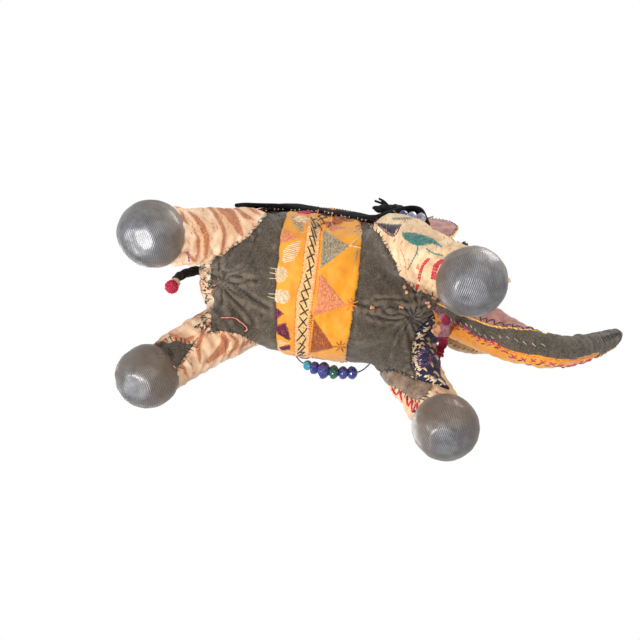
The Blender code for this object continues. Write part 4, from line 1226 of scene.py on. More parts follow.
def ear(tag, sign):
    c = d2r(86, sign * 55.4, 174)
    rings, n = 46, 84
    ph = np.linspace(0, 2 * np.pi, n, endpoint=False)
    u = np.concatenate([np.linspace(0.02, 1, rings // 2) ** 0.8, (np.linspace(1, 0.02, rings // 2) ** 0.8)])
    side = np.concatenate([np.ones(rings // 2), -np.ones(rings // 2)])
    R = ear_edge(ph)
    pts = np.zeros((rings, n, 3))
    for k in range(rings):
        x, z = np.cos(ph) * 17.0 * u[k] * R * 0.98, np.sin(ph) * 34.0 * u[k] * R * 0.98
        thick_ = 2.1 * math.sqrt(max(0.0, 1 - u[k] ** 2.6)) + 0.25 * (u[k] < 0.999)
        curl = ear_curl(np.stack([x, 0 * x, z], 1))
        pts[k] = np.stack([x, side[k] * thick_ * 0.9 + sign * curl * 0.75, z], 1)
    skin = facing_out(grid(pts + c))
    skin.data["petal"] = np.full(len(skin.v), 9.0)
    piv = d2r(103, sign * 53, 174)
    key = tag + "_ear"
    HINGE[key] = ("torso", key, piv, piv + [-9, 0, 0])
    o = make("ear_cloth_" + tag, skin, M["mauve"], key, "mauve_cotton")
    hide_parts("ear_" + tag)
    # piped and whip-stitched edge
    t = np.linspace(0, 2 * np.pi, 120)
    Rt = ear_edge(t)
    q = np.stack([np.cos(t) * 17 * Rt * 0.98, 0 * t, np.sin(t) * 34 * Rt * 0.98], 1)
    line = q + np.stack([0 * t, sign * ear_curl(q) * 0.75, 0 * t], 1) + c
    make("ear_piping_" + tag, pipe(line, 0.75, 8), M["t_yellow"], key, "marigold_silk")
    parts = []
    for k in range(0, 118, 4):
        a, b = line[k], line[k + 2]
        mid = c + (0.5 * (a + b) - c) * 0.9
        for s in (1, -1):
            parts.append(pipe(*rounded([a + (a - c) * 0.012, 0.5 * (a + mid) + [0, s * 1.5, 0],
                                        mid + [0, s * 2.0, 0]], 0.33), sides=5))
    make("ear_stitches_" + tag, merge(parts), M["t_black"], key, "black_cotton")


ear("left", 1)
ear("right", -1)

for tag, sign in (("left", 1), ("right", -1)):
    line = curve([d2r(106, sign * 32, 148), d2r(122, sign * 34.5, 138.2), d2r(138, sign * 33, 132.8),
                  d2r(149.6, sign * 30, 132.2)], 14)
    rad = np.interp(np.linspace(0, 1, len(line)), [0, 0.35, 0.75, 1], [6.3, 5.6, 3.8, 1.7])
    sk = pipe(*rounded(line, rad), sides=28)
    sk.v = sk.v + sk.normals() * (0.35 * sines(sk.v, 7, 75) + 0.15 * sines(sk.v, 3, 76))[:, None]
    o = make("tusk_" + tag + "_cloth", sk, M["creamcloth"], "torso", "cream_cotton")
    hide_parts("tusk_" + tag)
    parts = []
    t_, u_, w_ = frames(line)
    for k in range(2, len(line) - 2, 3):
        r_ = rad[k] + 0.25
        p0, p1 = line[k] + w_[k] * -r_ * 0.98 - t_[k] * 0.8 + u_[k] * 0.9, line[k
                + 1] + w_[k] * -r_ * 0.98 - u_[k] * 0.9
        parts.append(pipe(*rounded([p0, (p0 + p1) / 2 + w_[k] * -0.3, p1], 0.3), sides=5))
    make("tusk_" + tag + "_seam", merge(parts), M["t_black"], "torso", "black_cotton")
    lo, hi = (np.array(x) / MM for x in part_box("eye_" + tag))
    c, r3 = (lo + hi) / 2, (hi - lo) / 2
    sk = superegg(c, r3, 2.0, 22, 30)
    o = make("eye_" + tag + "_bead", sk, M["eye"], "torso", "black_bead")
    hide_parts("eye_" + tag)
    n = unit((c - HEAD[0]) / np.array(HEAD[1]))
    a = unit(np.cross(n, [0, 0, 1.0]))
    b = np.cross(n, a)
    t = np.linspace(0, 2 * np.pi, 60)
    rings_ = []
    for rr, push in ((4.9, -1.6), (6.2, -2.2)):
        rings_.append(pipe(c + n * push + np.cos(t)[:, None] * a * rr + np.sin(t)[:, None] * b * rr * 1.1,
                           0.7, 7))
    make("eye_" + tag + "_ring", merge(rings_), M["t_cream"], "torso", "cream_cotton")

lip = superegg(d2r(99.5, 11.0, 103.0), (4.6, 5.6, 4.2), 2.2, 40, 56)
lip.v = lip.v + lip.normals() * (1.1 * sines(lip.v, 8, 77) + 0.4 * sines(lip.v, 3.5, 78) - 1.6
        * np.exp(-((lip.v[:, 1] - OFF[1] - 11) / 1.1) ** 2))[:, None]
o = make("mouth_lip_cloth", lip, M["lip"], "torso", "cream_print")
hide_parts("mouth_lip")

# ---------------------------------------------------------------- saddle cloth
sad = superegg(TORSO[0], [r + 2.3 for r in TORSO[1]], TORSO[2], 150, 220)
HEM_Z = 139                              # the saddle's hem, at the roots of its points
hemline = HEM_Z - 9.0 * np.abs(((sad.v[:, 0] - OFF[0] + 74) / 14) % 1 * 2 - 1) ** 1.2
x_in = np.minimum(sad.v[:, 0] - (OFF[0] - 87), OFF[0] + 63 - sad.v[:, 0]) + 0.6 * sines(sad.v, 16, 80)
sad.data["_f"] = np.minimum(sad.v[:, 2] - hemline + 0.3 * sines(sad.v, 10, 81), x_in)
sad.v = sad.v + sad.normals() * (0.45 * sines(sad.v, 19, 82) + 0.2 * sines(sad.v, 7, 83) + 0.45
        * np.exp(-np.clip(sad.data["_f"], 0, None) / 2.0))[:, None]
top = sad.clip(sad.data["_f"]).big()
saddle = make("saddle_cloth_sheet", top.thick(0.9), M["black"], "torso", "black_cotton")
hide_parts("saddle_cloth", "hem_points_left", "hem_points_right")
TOPS.append(("torso", top.v, top.t))
saddle_top = top.v[top.v[:, 1] > 0]

# ---------------------------------------------------------------- tail
line = curve([d2r(-108, 0, 128), d2r(-112.0, 0, 124.5), d2r(-117, 0, 114), d2r(-119, 0, 102),
              d2r(-118, 0, 92), d2r(-116.5, 0, 84)], 14)
rad = np.interp(np.linspace(0, 1, len(line)), [0, 0.3, 1], [3.8, 3.95, 2.9])
sk = pipe(*rounded(line, rad), sides=36)
sk.v = sk.v + sk.normals() * (0.3 * np.sin((sk.v[:, 2] + 2.6
        * np.arctan2(sk.v[:, 1] - OFF[1], sk.v[:, 0] + 170)) / 1.9) + 0.2 * sines(sk.v, 5, 84))[:, None]
HINGE["tail_half"] = ("torso", "tail", d2r(-110, 0, 127), d2r(-115, 0, 119))
o = make("tail_cloth", sk, M["black"], "tail_half", "black_cotton")
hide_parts("tail_roll")
t = np.linspace(0, 2 * np.pi * 5, 260)
band_line = np.stack([-116.4 + OFF[0] + 3.5 * np.cos(t), OFF[1] + 3.5 * np.sin(t), 88.0 - t / (2 * np.pi)], 1)
o = make("tail_wrap_thread", pipe(band_line, 0.62, 7), M["t_cream"], "tail", "cream_cotton")
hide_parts("tail_wrap")
c = d2r(-115.4, 0, 75.9)
tufts = [superegg(c, (4.3, 4.3, 4.3), 2.0, 18, 24)]
for k in range(420):
    zz = 1 - 2 * (k + 0.5) / 420
    aa = k * 2.399963
    flat = math.sqrt(1 - zz * zz)
    d = unit(np.array([flat * math.cos(aa), flat * math.sin(aa), zz]) + RNG.normal(size=3) * 0.12)
    bend = d + RNG.normal(size=3) * 0.25
    tufts.append(pipe([c + d * 3.6, c + d * 4.9, c + d * 4.9 + bend * RNG.uniform(0.5, 0.9)],
                      [0.42, 0.4, 0.22], 5))
o = make("tail_pompom_wool", merge(tufts), M["wool"], "tail", "magenta_wool")
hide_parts("tail_pompom")

# ---------------------------------------------------------------- bead swags
def bead(c, tangent, length, radius, ridges):
    """A turned glass bead on its thread, dimpled at its holes."""
    t = np.linspace(0, 1, 26)
    prof_r = radius * np.sin(np.pi * np.clip(t, 0.0, 1)) ** 0.55
    prof_x = (t - 0.5) * length
    prof_r[0] = prof_r[-1] = 0.55
    ang = np.linspace(0, 2 * np.pi, 30, endpoint=False)
    u = unit(np.cross(tangent, [0, 1.0, 0]))
    w = np.cross(tangent, u)
    rr = prof_r[:, None] * (1 + 0.035 * np.cos(ridges * ang)[None, :] * (prof_r[:, None] / radius))
    pts = c + prof_x[:, None, None] * tangent + rr[...,
            None] * (np.cos(ang)[None, :, None] * u + np.sin(ang)[None, :, None] * w)
    return facing_out(grid(pts))


# how much longer and thicker the photo's beads are than the CAD's, and where they hang from there
BEAD_WIDE = 1.22
BEAD_LONG = {"left": 1.42, "right": 1.4}
BEAD_OUT = {"left": np.array([0, 1.6, -1.0]), "right": np.array([2.0, -7.0, -9.0])}


def swag(tag, y, z, x0, x1, sag, beads):
    """A string between two hem points, with its beads as (length, radius, colour)."""
    mid, half = (x0 + x1) / 2, (x1 - x0) / 2
    t = np.linspace(-1, 1, 121)
    path = d2r(0, 0, 0) + BEAD_OUT[tag] + np.stack([mid + half * t, y + 0 * t,
            z - 2.2 - sag * (1 - t * t) ** 0.8], 1)
    if tag == "right":
        path[:, 2] += 7.5 * t ** 4
    else:
        for k, end in ((0, path[0]), (-1, path[-1])):
            off = saddle_top[np.abs(saddle_top - [end[0], 0, HEM_Z - 2.2]).dot([1.0, 0, 1.0]).argmin()]
            path[:, 1] += (off[1] + 1.6 - end[1]) * np.clip(np.abs(t) * 3 - 2, 0,
                    1) ** 2 * (t < 0 if k == 0 else t > 0)
    keep = [0]
    for k in range(1, len(path)):
        if np.linalg.norm(path[k] - path[keep[-1]]) > 1.4:
            keep.append(k)
    path = path[keep]
    length = np.linalg.norm(np.diff(path, axis=0), axis=1).sum()
    string = make("swag_string_" + tag, pipe(path, 0.55, 8), M["t_black"], "swag_" + tag, "black_cotton")
    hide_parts("thread_" + tag)
    on = []
    for k, (ln, rad_, mat) in enumerate(beads, 1):
        node = "bead_%s_%d" % (tag, k)
        lo, hi = (np.array(x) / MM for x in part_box(node))
        c = (lo + hi) / 2 + BEAD_OUT[tag]
        near = np.linalg.norm(path - c, axis=1).argmin()
        d = unit(path[min(near + 2, len(path) - 1)] - path[max(near - 2, 0)])
        o = make("%s_glass" % node, bead(c, d, ln * BEAD_LONG[tag], rad_ * BEAD_WIDE, 6 + k),
                 M[mat + "_bead"], "swag_" + tag, mat + "_bead")
        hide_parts(node)
        cap = []
        for s in (-1, 1):
            base = c + d * s * (ln * BEAD_LONG[tag] / 2 - 0.6)
            cap.append(facing_out(pipe([base - d * s * 0.7, base, base + d * s * 0.5], [2.3, 2.2, 1.5], 16)))
        g = make("%s_caps" % node, merge(cap), M["brass"], "swag_" + tag, mat + "_bead")
        on += [o, g]
    [c * MM for c in path[0]]
    [[c * MM for c in p] for p in path]
    return length


swag("left", 66.4, 137.0, -20.0, 48.0, 19.0,
     [(6.0, 3.6, "cyan"), (6.6, 4.6, "indigo"), (8.5, 6.0, "indigo"), (7.0, 4.9, "green"),
      (7.0, 4.6, "indigo"), (7.0, 4.6, "indigo")])
swag("right", -66.0, 139.0, 47.0, 79.0, 8.0, [(5.8, 3.8, "indigo"), (6.2, 3.9, "grey"), (5.8, 3.8, "grey")])

# ---------------------------------------------------------------- needlework
TREE = BVHTree.FromPolygons(np.concatenate([v for _, v, _ in TOPS]).tolist(),
                            np.concatenate([t + n for (_, _, t),
                                            n in zip(TOPS, np.cumsum([0] + [len(v) for _, v,
                                                    _ in TOPS[:-1]]))]).tolist())
OWNER = np.repeat(np.arange(len(TOPS)), [len(t) for _, _, t in TOPS])
SEWN = {}


def land(q, chart="belly"):
    """The surface point, its normal and its body under a layout point."""
    if chart == "belly":
        start, d = EYE, sight(q)
    elif chart == "top":
        start, d = np.array([q[0], q[1], 400.0]), np.array([0, 0, -1.0])
    elif chart == "front":
        start, d = np.array([300.0, q[0], q[1]]), np.array([-1.0, 0, 0])
    else:
        s = 1 if chart == "left" else -1
        start, d = np.array([q[0], s * 300.0, q[1]]), np.array([0, -1.0 * s, 0])
    hit = TREE.ray_cast(Vector(start), Vector(d))
    if hit[0] is None:
        return None
    n = np.array(hit[1])
    return np.array(hit[0]), n if n @ d < 0 else -n, TOPS[OWNER[hit[2]]][0]


def sew(colour, a, b, r=0.4, arch=0.35, chart="belly", wild=0.0):
    """One stitch from a to b, lying on the cloth with its ends sunk in."""
    a, b = np.asarray(a, float), np.asarray(b, float)
    if wild:
        a, b = a + RNG.normal(size=2) * wild, b + RNG.normal(size=2) * wild
    n = max(3, int(np.linalg.norm(b - a) / 2.2) + 2)
    pts, body = [], None
    last = None
    for k, t in enumerate(np.linspace(0, 1, n)):
        h = land(a + (b - a) * t, chart)
        if h is None or (last is not None and np.linalg.norm(h[0] - last) > 8):
            return
        last = h[0]
        up = -r * 0.7 if k in (0, n - 1) else r * 0.45 + arch * math.sin(math.pi * t)
        pts.append(h[0] + h[1] * up)
        if k == n // 2:
            body = h[2]
    SEWN.setdefault((colour, body), []).append(pipe(*rounded(pts, r), sides=5))


def satin(colour, poly, angle, pitch=0.95, r=0.5, chart="belly", longest=13.0):
    """Fills a shape with parallel stitches."""
    poly = np.asarray(poly, float)
    c, s = math.cos(math.radians(angle)), math.sin(math.radians(angle))
    rot = np.array([[c, s], [-s, c]])
    p = poly @ rot.T
    y = p[:, 1].min() + pitch * 0.5
    row = 0
    while y < p[:, 1].max():
        xs = []
        for u, w in zip(p, np.roll(p, -1, axis=0)):
            if (u[1] <= y) != (w[1] <= y):
                xs.append(u[0] + (y - u[1]) * (w[0] - u[0]) / (w[1] - u[1]))
        xs.sort()
        for x0, x1 in zip(xs[::2], xs[1::2]):
            x0, x1 = x0 + RNG.uniform(-0.3, 0.3), x1 + RNG.uniform(-0.3, 0.3)
            parts = max(1, int(math.ceil((x1 - x0) / longest)))
            cuts = [x0] + [x0 + (x1 - x0) * (k + (0.2 if row % 2 else -0.2)) / parts
                           for k in range(1, parts)] + [x1]
            for u, w in zip(cuts[:-1], cuts[1:]):
                if w - u > 0.9:
                    sew(colour, np.array([u, y]) @ rot, np.array([w, y + RNG.uniform(-0.15, 0.15)]) @ rot, r,
                        0.15, chart)
        y += pitch
        row += 1


def spaced(points, pitch):
    """Places one pitch apart on a layout line, and the line's direction there."""
    p = curve(points, 16)
    s = np.concatenate([[0], np.cumsum(np.linalg.norm(np.diff(p, axis=0), axis=1))])
    at = np.arange(pitch / 2, s[-1], pitch)
    q = np.stack([np.interp(at, s, p[:, k]) for k in range(2)], 1)
    d = np.stack([np.interp(at + 0.3, s, p[:, k]) - np.interp(at - 0.3, s, p[:, k]) for k in range(2)], 1)
    return q, d / np.maximum(np.linalg.norm(d, axis=1), 1e-9)[:, None]


def running(colour, points, pitch=3.0, fill=0.75, r=0.35, chart="belly", wild=0.1):
    for q, d in zip(*spaced(points, pitch)):
        sew(colour, q - d * pitch * fill / 2, q + d * pitch * fill / 2, r, 0.25, chart, wild)


def whip(colour, points, pitch=3.6, length=4.6, lean=0.35, r=0.36, chart="belly", wild=0.35):
    """Slanting stitches over a seam."""
    for q, d in zip(*spaced(points, pitch)):
        n = np.array([-d[1], d[0]])
        v = (n + d * lean) * length / 2 * RNG.uniform(0.7, 1.15)
        sew(colour, q - v, q + v, r, 0.3, chart, wild)


def herringbone(colour, left, right, period, r=0.4, chart="belly"):
    """A column of crossed stitches between two lines."""
    a, b = curve(left, 16), curve(right, 16)
    n = int(np.linalg.norm(np.diff(a, axis=0), axis=1).sum() / period)
    pick = lambda line, u: np.array([np.interp(u, np.linspace(0, 1, len(line)), line[:, k])
            for k in range(2)])
    for k in range(n):
        u, w = (k + 0.5) / n, 0.56 / n
        sew(colour, pick(a, u - w), pick(b, u + w), r, 0.35, chart, 0.4)
        sew(colour, pick(b, u - w), pick(a, u + w), r, 0.6, chart, 0.4)


def star(colour, c, size, arms=6, r=0.4, chart="belly", turn=0.2):
    for k in range(arms):
        a = turn + 2 * np.pi * k / arms + RNG.uniform(-0.12, 0.12)
        d = spoke(a)
        sew(colour, np.array(c) + d * 0.7, np.array(c) + d * size * RNG.uniform(0.8, 1.1), r, 0.3, chart)


COL_LEFT = [(-65.0, -70.5), (-64.9, -60.8), (-65.1, -44.4), (-65.1, -20.9), (-67.6, -4.5), (-66.8, 18.8),
            (-65.3, 41.3), (-65.1, 46.1)]
COL_RIGHT = [(-54.6, -68.2), (-53.9, -51.5), (-53.6, -38.4), (-53.8, -18.1), (-54.5, 0.3), (-54.1, 16.7),
             (-53.4, 35.6), (-53.0, 44.0)]
satin("t_sand", COL_LEFT + COL_RIGHT[::-1], 0, 0.9, 0.5)
for line_ in (COL_LEFT, COL_RIGHT):
    running("t_orange", line_, 2.6, 0.95, 0.55)
    running("t_pink", [(x + (1.3 if line_ is COL_LEFT else -1.3), y) for x, y in line_], 2.4, 0.9, 0.4)
for k in range(44):
    y = -66 + k * 2.6
    x = np.interp(y, [p[1] for p in COL_LEFT], [p[0] for p in COL_LEFT])
    sew("t_orange" if k % 2 else "t_cream", (x + 2.0, y), (x + 4.2, y + 1.3), 0.4, 0.3, wild=0.3)
    sew("t_orange" if k % 2 else "t_cream", (x + 9.2, y), (x + 7.0, y + 1.3), 0.4, 0.3, wild=0.3)
herringbone("t_black", [(x + 2.2, y) for x, y in COL_LEFT], [(x - 2.2, y) for x, y in COL_RIGHT], 7.4, 0.62)
satin("t_sage", [(-80.1, -67.8), (-75.8, -67.7), (-70.7, -65.4), (-66.4, -62.2), (-66.9, -56.2),
                 (-70.5, -57.3), (-75.7, -60.9)], 25, 1.5, 0.45)
satin("t_salmon", [(-84.3, -56.4), (-69.0, -52.6), (-84.4, -44.8)], 5, 0.95, 0.48)
satin("t_cream", [(-67.7, -50.6), (-68.8, -41.6), (-72.3, -33.3), (-79.9, -29.3), (-81.9, -33.0),
                  (-80.9, -40.9), (-75.0, -47.3)], -22, 1.45, 0.5)
satin("t_cream", [(-83.1, -27.7), (-77.9, -25.7), (-75.8, -20.4), (-78.6, -15.4), (-84.0, -13.4),
                  (-85.8, -17.2), (-86, -24)], 30, 1.3, 0.5)
satin("t_cream", [(-84.6, -7.5), (-74.7, -8.5), (-72.6, -3.7), (-73.8, 1.1), (-78.1, 3.6), (-84.3, 2.8)], -12,
      1.0, 0.5)
for y in (-24.5, -20.5, -17.0, -4.0, 0.0):
    sew("t_cream", (-82.0, y), (-90.5, y + RNG.uniform(-2, 2)), 0.3, 0.5)
satin("t_plum", [(-84.0, 6.3), (-76.3, 11.7), (-83.0, 19.3)], 60, 1.0, 0.5)
satin("t_plum", [(-80.4, 21.6), (-74.4, 18.8), (-71.0, 25.4), (-68.6, 33.7), (-71.5, 33.4), (-79.7, 29.8),
                 (-82.4, 21.6)], 50, 1.0, 0.5)
satin("t_cream", [(-79.0, 34.3), (-68.8, 35.7), (-78.1, 41.1)], 0, 1.2, 0.42)
satin("t_plum", [(-80.9, 41.6), (-68.7, 36.6), (-67.9, 41.5), (-80.5, 46.2)], 40, 1.0, 0.5)
satin("t_plum", [(-80.5, -76.5), (-70.5, -76.0), (-74, -70.8)], 60, 1.0, 0.5)
satin("t_rust", [(-52.2, -67.8), (-36.4, -68.7), (-49.4, -61.8)], 0, 1.0, 0.48)
satin("t_sage", [(-51.9, -60.9), (-30.1, -51.2), (-51.0, -29.5)], 66, 1.15, 0.46, longest=9)
satin("t_greygreen", [(-51.9, -59.0), (-40.1, -53.2), (-51.0, -31.5)], 82, 2.3, 0.42, longest=8)
sew("t_cream", (-31.5, -51.5), (-21.5, -51.1), 0.5)
sew("t_sage", (-24.6, -49.5), (-25.2, -39.5), 0.5)
sew("t_cream", (-30.0, -52.5), (-24.5, -58.5), 0.4)
satin("t_salmon", [(-50.9, -26.9), (-27.7, -3.4), (-52.2, 10.2)], 90, 0.95, 0.5, longest=14)
satin("t_rust", [(-51.8, 11.9), (-32.9, 33.9), (-51.6, 42.1)], 90, 1.0, 0.48)
star("t_orange", (-23.9, -4.7), 6.0, 7, 0.5)
star("t_rust", (-28.2, 31.3), 5.6, 7, 0.45)
star("t_sage", (-25.0, -64.0), 4.0, 5, 0.4)
whip("t_black", [(-54.6, 9.0), (-54.4, 22.0)], 1.8, 3.4, 0.3, 0.4)
# the band's pattern carried up both flanks
for chart in ("right", "left"):
    for k, z in enumerate((117, 131)):
        satin(("t_salmon", "t_rust")[k], [(-51.5, z - 7), (-33, z), (-51.5, z + 7)], 90, 1.05, 0.46, chart)
        satin(("t_cream", "t_magenta")[k], [(-80, z - 5), (-71, z - 3), (-69, z + 3), (-78, z + 5), (-83, z)],
              20, 1.15, 0.46, chart)
        star(("t_rust", "t_magenta")[k], (-27.5, z + 7), 4.2, 6, 0.4, chart)
    for x in (-66, -54):
        running("t_orange", [(x, 108), (x, 138)], 2.6, 0.95, 0.5, chart)
    herringbone("t_black", [(-64, 108), (-64, 138)], [(-56, 108), (-56, 138)], 8.4, 0.45, chart)

# navy patch with cream dashes and the small ring
for a, b in [((36.7, 1.4), (45.3, -6.2)), ((29.9, 15.2), (37.0, 9.8)), ((34.8, 8.0), (39.6, 4.6)),
             ((29.3, 17.4), (31.5, 22.4)), ((34.2, 17.7), (37.4, 19.2)), ((28.6, 22.9), (30.2, 26.9)),
             ((30.4, 31.7), (35.2, 37.9)), ((34.5, 42.9), (37.3, 45.2)), ((40.8, 9.1), (44.5, 13.8)),
             ((42.9, 6.7), (46.1, 11.4)), ((39.5, 16.8), (42.9, 19.9)), ((46.9, 26.2), (49.9, 29.9)),
             ((48.0, 40.0), (52.5, 43.5)), ((45.7, 44.8), (50.3, 48.9)), ((52.8, 45.7), (58.5, 50.1)),
             ((38.5, 12.5), (41.0, 15.6)), ((36.0, 21.6), (38.6, 23.4)), ((41.5, 22.5), (45.5, 24.5)),
             ((44.0, 33.0), (47.0, 36.5)), ((39.0, 38.5), (42.5, 41.0))]:
    a, b = np.array(a), np.array(b)
    for s in (-0.55, 0.55):
        n = np.array([-(b - a)[1], (b - a)[0]]) / np.linalg.norm(b - a) * s
        sew("t_cream", a + n, b + n * 0.4, 0.5, 0.3, wild=0.15)
satin("t_indigo", oval(39.3, 30.4, 7.6, 8.4, 22), 20, 1.5, 0.5)
edge = curve([(43.0, -8.0), (36.4, 0.7), (32.4, 8.3), (31.0, 15.5), (31.0, 25.9), (32.4, 36.3), (36.1, 44.6),
              (46, 48), (56, 51)], 14)
for _ in range(64):
    c = edge[RNG.integers(len(edge))] + RNG.normal(size=2) * [1.6, 1.6] + [2.2, 0.2]
    a = RNG.normal(-0.75, 0.45)
    d = spoke(a) * RNG.uniform(1.0, 1.9)
    sew("t_ivory", c - d, c + d, 0.45, 0.55)
for rr, col in ((7.4, "t_black"), (6.2, "t_purple"), (5.0, "t_pink"), (3.4, "t_black"), (2.2, "t_indigo")):
    running(col, oval(39.0, 30.4, rr, rr, 15), 2.4, 0.95, 0.42)
for _ in range(26):
    c = np.array([RNG.uniform(46.5, 53.5), RNG.uniform(-4, 25)])
    if inside(c[None], MAGENTA)[0] > 0.5:
        d = RNG.normal(size=2)
        sew("t_magenta" if RNG.random() < 0.6 else "t_cream", c - d, c + d, 0.5, 0.5)
# left front leg
zig = [(17, 59.5), (22, 66), (24, 61.5), (27.5, 70.5), (30, 64.5), (32.5, 74), (35, 67.5), (36.5, 78.5),
       (39.5, 69), (40.2, 76)]
for a, b in zip(zig[:-1], zig[1:]):
    sew("t_red", a, b, 0.75, 0.35)
running("t_magenta", [(52, 57), (60, 62), (66, 70)], 2.6, 0.9, 0.5)
whip("t_black", [(2.1, 48.7), (16.7, 44.5), (30.2, 47.6), (36.4, 49.5), (49.0, 50.2)], 3.4, 4.8)
whip("t_black", [(0, 55.6), (17.6, 58.7), (32.4, 66.6), (42.0, 67.0), (48, 56.5)], 3.2, 4.6)
# right front leg
satin("t_teal", [(7.7, -67.7), (18.3, -68.6), (30.5, -66.7), (40.4, -60.2), (31.2, -62.1), (22.1, -59.1),
                 (16.1, -59.4), (9.6, -63.0)], 62, 0.95, 0.5)
running("t_teal", [(20.8, -59.7), (20.5, -52.2), (15.5, -38.3)], 2.4, 0.95, 0.5)
running("t_teal", [(27.0, -58.0), (33.0, -55.0), (40.0, -54.0)], 2.4, 0.95, 0.45)
for shift in (-0.7, 0.5):
    running("t_red", [(30.8 + shift, -50.7), (27.0 + shift, -43.9), (25.7 + shift, -34.8),
                      (24.8 + shift, -25.2)], 2.3, 0.98, 0.6)
for shift in (-1.4, -0.4, 0.6, 1.5):
    running("t_red", [(41.5 + shift, -51.1), (36.8 + shift, -45.3), (36.3 + shift, -34.3)], 2.3, 0.98, 0.62)
running("t_salmon", [(8, -55), (13, -46), (15, -36)], 2.6, 0.9, 0.4)
# seams
whip("t_black", [(-18.0, -71.3), (-8.6, -63.5), (0.5, -49.9), (9.7, -36.1), (19.5, -27.4), (26.2, -23.1),
                 (33.5, -23.0), (40, -22)], 3.3, 4.4)
whip("t_black", [(45.1, -10.9), (42.2, -6.5), (36.9, -0.3), (31.9, 7.1), (28.1, 19.8), (29.6, 34.6),
                 (35.3, 47.4)], 3.3, 4.0)
whip("t_black", [(-88, -70.5), (-96.0, -68.6), (-99.5, -62.6), (-110.2, -46.7), (-122.4, -36.0),
                 (-134.7, -24.3), (-140.1, -18.5)], 4.2, 3.8, 0.5, 0.3)
whip("t_black", [(-140.1, -18.5), (-136.8, -3.9), (-139.0, 1.5), (-135.7, 14.7), (-136.8, 25.3),
                 (-135.4, 33.8)], 4.4, 3.8, -0.4, 0.3)
whip("t_black", [(-139.4, 38.9), (-127.7, 35.2), (-114.3, 34.7), (-98.7, 40.8), (-84, 45.4)], 4.2, 3.8, 0.5,
     0.3)
whip("t_black", [(-20.5, -40), (-20.4, -10), (-21.6, 20), (-22.1, 42)], 7.5, 2.6, 0.2, 0.28)
whip("t_black", LH_PATCH + LH_PATCH[:1], 4.0, 5.5, 0.4, 0.3)
for k in range(9):
    a = -2.4 + k * 0.55
    d = spoke(a)
    sew("t_black", CHEST + d * 1.5, CHEST + d * RNG.uniform(5, 11), 0.3, 0.4)
for a, b in [((-158, 62), (-150, 70)), ((-172, 57), (-166, 66)), ((-165, 49), (-170, 40)),
             ((-151, 52), (-146, 44))]:
    sew("t_black", a, b, 0.26, 0.9)
satin("t_olive", [(-152.9, 18.8), (-149.2, 13.5), (-143.3, 8.9), (-145.8, 15.5), (-149.6, 20.4)], 60, 1.0,
      0.45)
for pts, col in [([(-158, -53), (-148, -45), (-146, -32)], "t_yellow"),
                 ([(-136, -62), (-127, -55), (-122, -45)], "t_yellow"),
                 ([(-140, -58), (-137, -45)], "t_pink"),
                 ([(-148, 58), (-141, 48), (-135, 40)], "t_yellow"),
                 ([(-176, 47), (-165, 38), (-152, 31)], "t_pink"),
                 ([(-128, 60), (-118, 50), (-110, 42)], "t_yellow"),
                 ([(-112, -62), (-106, -55)], "t_pink"), ([(-152, 24), (-143, 22)], "t_pink")]:
    running(col, pts, 3.2, 0.6, 0.26)
running("t_purple", [(-158.5, -28), (-156.5, -19)], 2.2, 0.95, 0.5)

# torn bits at the gathers, the rolled magenta edge and the ragged rump
bits = []
for k, q in enumerate([(17.3, -21.4), (-6.9, -4.9), (15.0, -9.3), (33.9, -15.7), (38.0, -19.7), (41.8, -10.3),
                       (30.2, -24.3), (15.1, -25.2), (36.0, -13.0)]):
    h = land(q)
    if h is None:
        continue
    b = superegg(h[0] + h[1] * 0.5, (RNG.uniform(1.0, 2.6), RNG.uniform(0.9, 1.9), 1.0), 2.0, 12, 18)
    b.v = b.v + b.normals() * (0.45 * sines(b.v, 2.6, 130 + k))[:, None]
    bits.append(b)
make("torn_cloth_bits", merge(bits), M["lip"], "torso", "cream_print")

edge = curve([(47.2, -5.8), (50.8, -3.3), (51.3, 5.1), (51.1, 13.7), (50.8, 22.4), (50.2, 26.4)], 10)
low_skin = SKIN.v[SKIN.v[:, 2] < 106]
roll = []
for q in edge:
    d = sight(q)
    t = (low_skin - EYE) @ d
    roll.append(t[np.linalg.norm(low_skin - EYE - t[:, None] * d, axis=1).argmin()])
roll = np.convolve(np.pad(roll, 6, mode="edge"), np.ones(13) / 13, mode="valid")
roll = np.array([EYE + sight(q) * r for q, r in zip(edge, roll)])
roll_r = 2.2 + 1.5 * np.sin(np.linspace(0.2, 3.0, len(roll))) + 0.3 * np.sin(np.arange(len(roll)) / 1.7)
magenta_roll = pipe(*rounded(roll, roll_r), sides=26, flat=0.6)
magenta_roll.v = magenta_roll.v + magenta_roll.normals() * (0.8 * sines(magenta_roll.v, 4.5, 140) + 0.3
        * sines(magenta_roll.v, 2, 141))[:, None]
make("magenta_rolled_edge", magenta_roll, M["magenta"], "torso", "magenta_wool")
rump = curve([(-145.7, -16.2), (-140.0, -15.5), (-138.3, -2.0), (-139.2, 12.1), (-139.1, 29.8),
              (-143.9, 34.3)], 14)
for _ in range(110):
    c = rump[RNG.integers(len(rump))] + RNG.normal(size=2) * [2.4, 1.5] + [-1.8, 0]
    a = RNG.uniform(0, math.pi)
    d = spoke(a) * RNG.uniform(0.8, 2.6)
    sew(("t_black", "t_black", "t_olive", "t_cream", "t_salmon", "t_greygreen")[RNG.integers(6)], c - d,
        c + d, RNG.uniform(0.3, 0.6), 0.7)

# ---------------------------------------------------------------- saddle trim
def left_hem_line():
    """Points just outside the saddle cloth, along its straight left hem."""
    hits = [land((x + OFF[0], HEM_Z + 0.01), "left") for x in np.arange(-85.0, 61.0, 1.5)]
    return np.array([h[0] + h[1] * 0.5 for h in hits if h is not None])


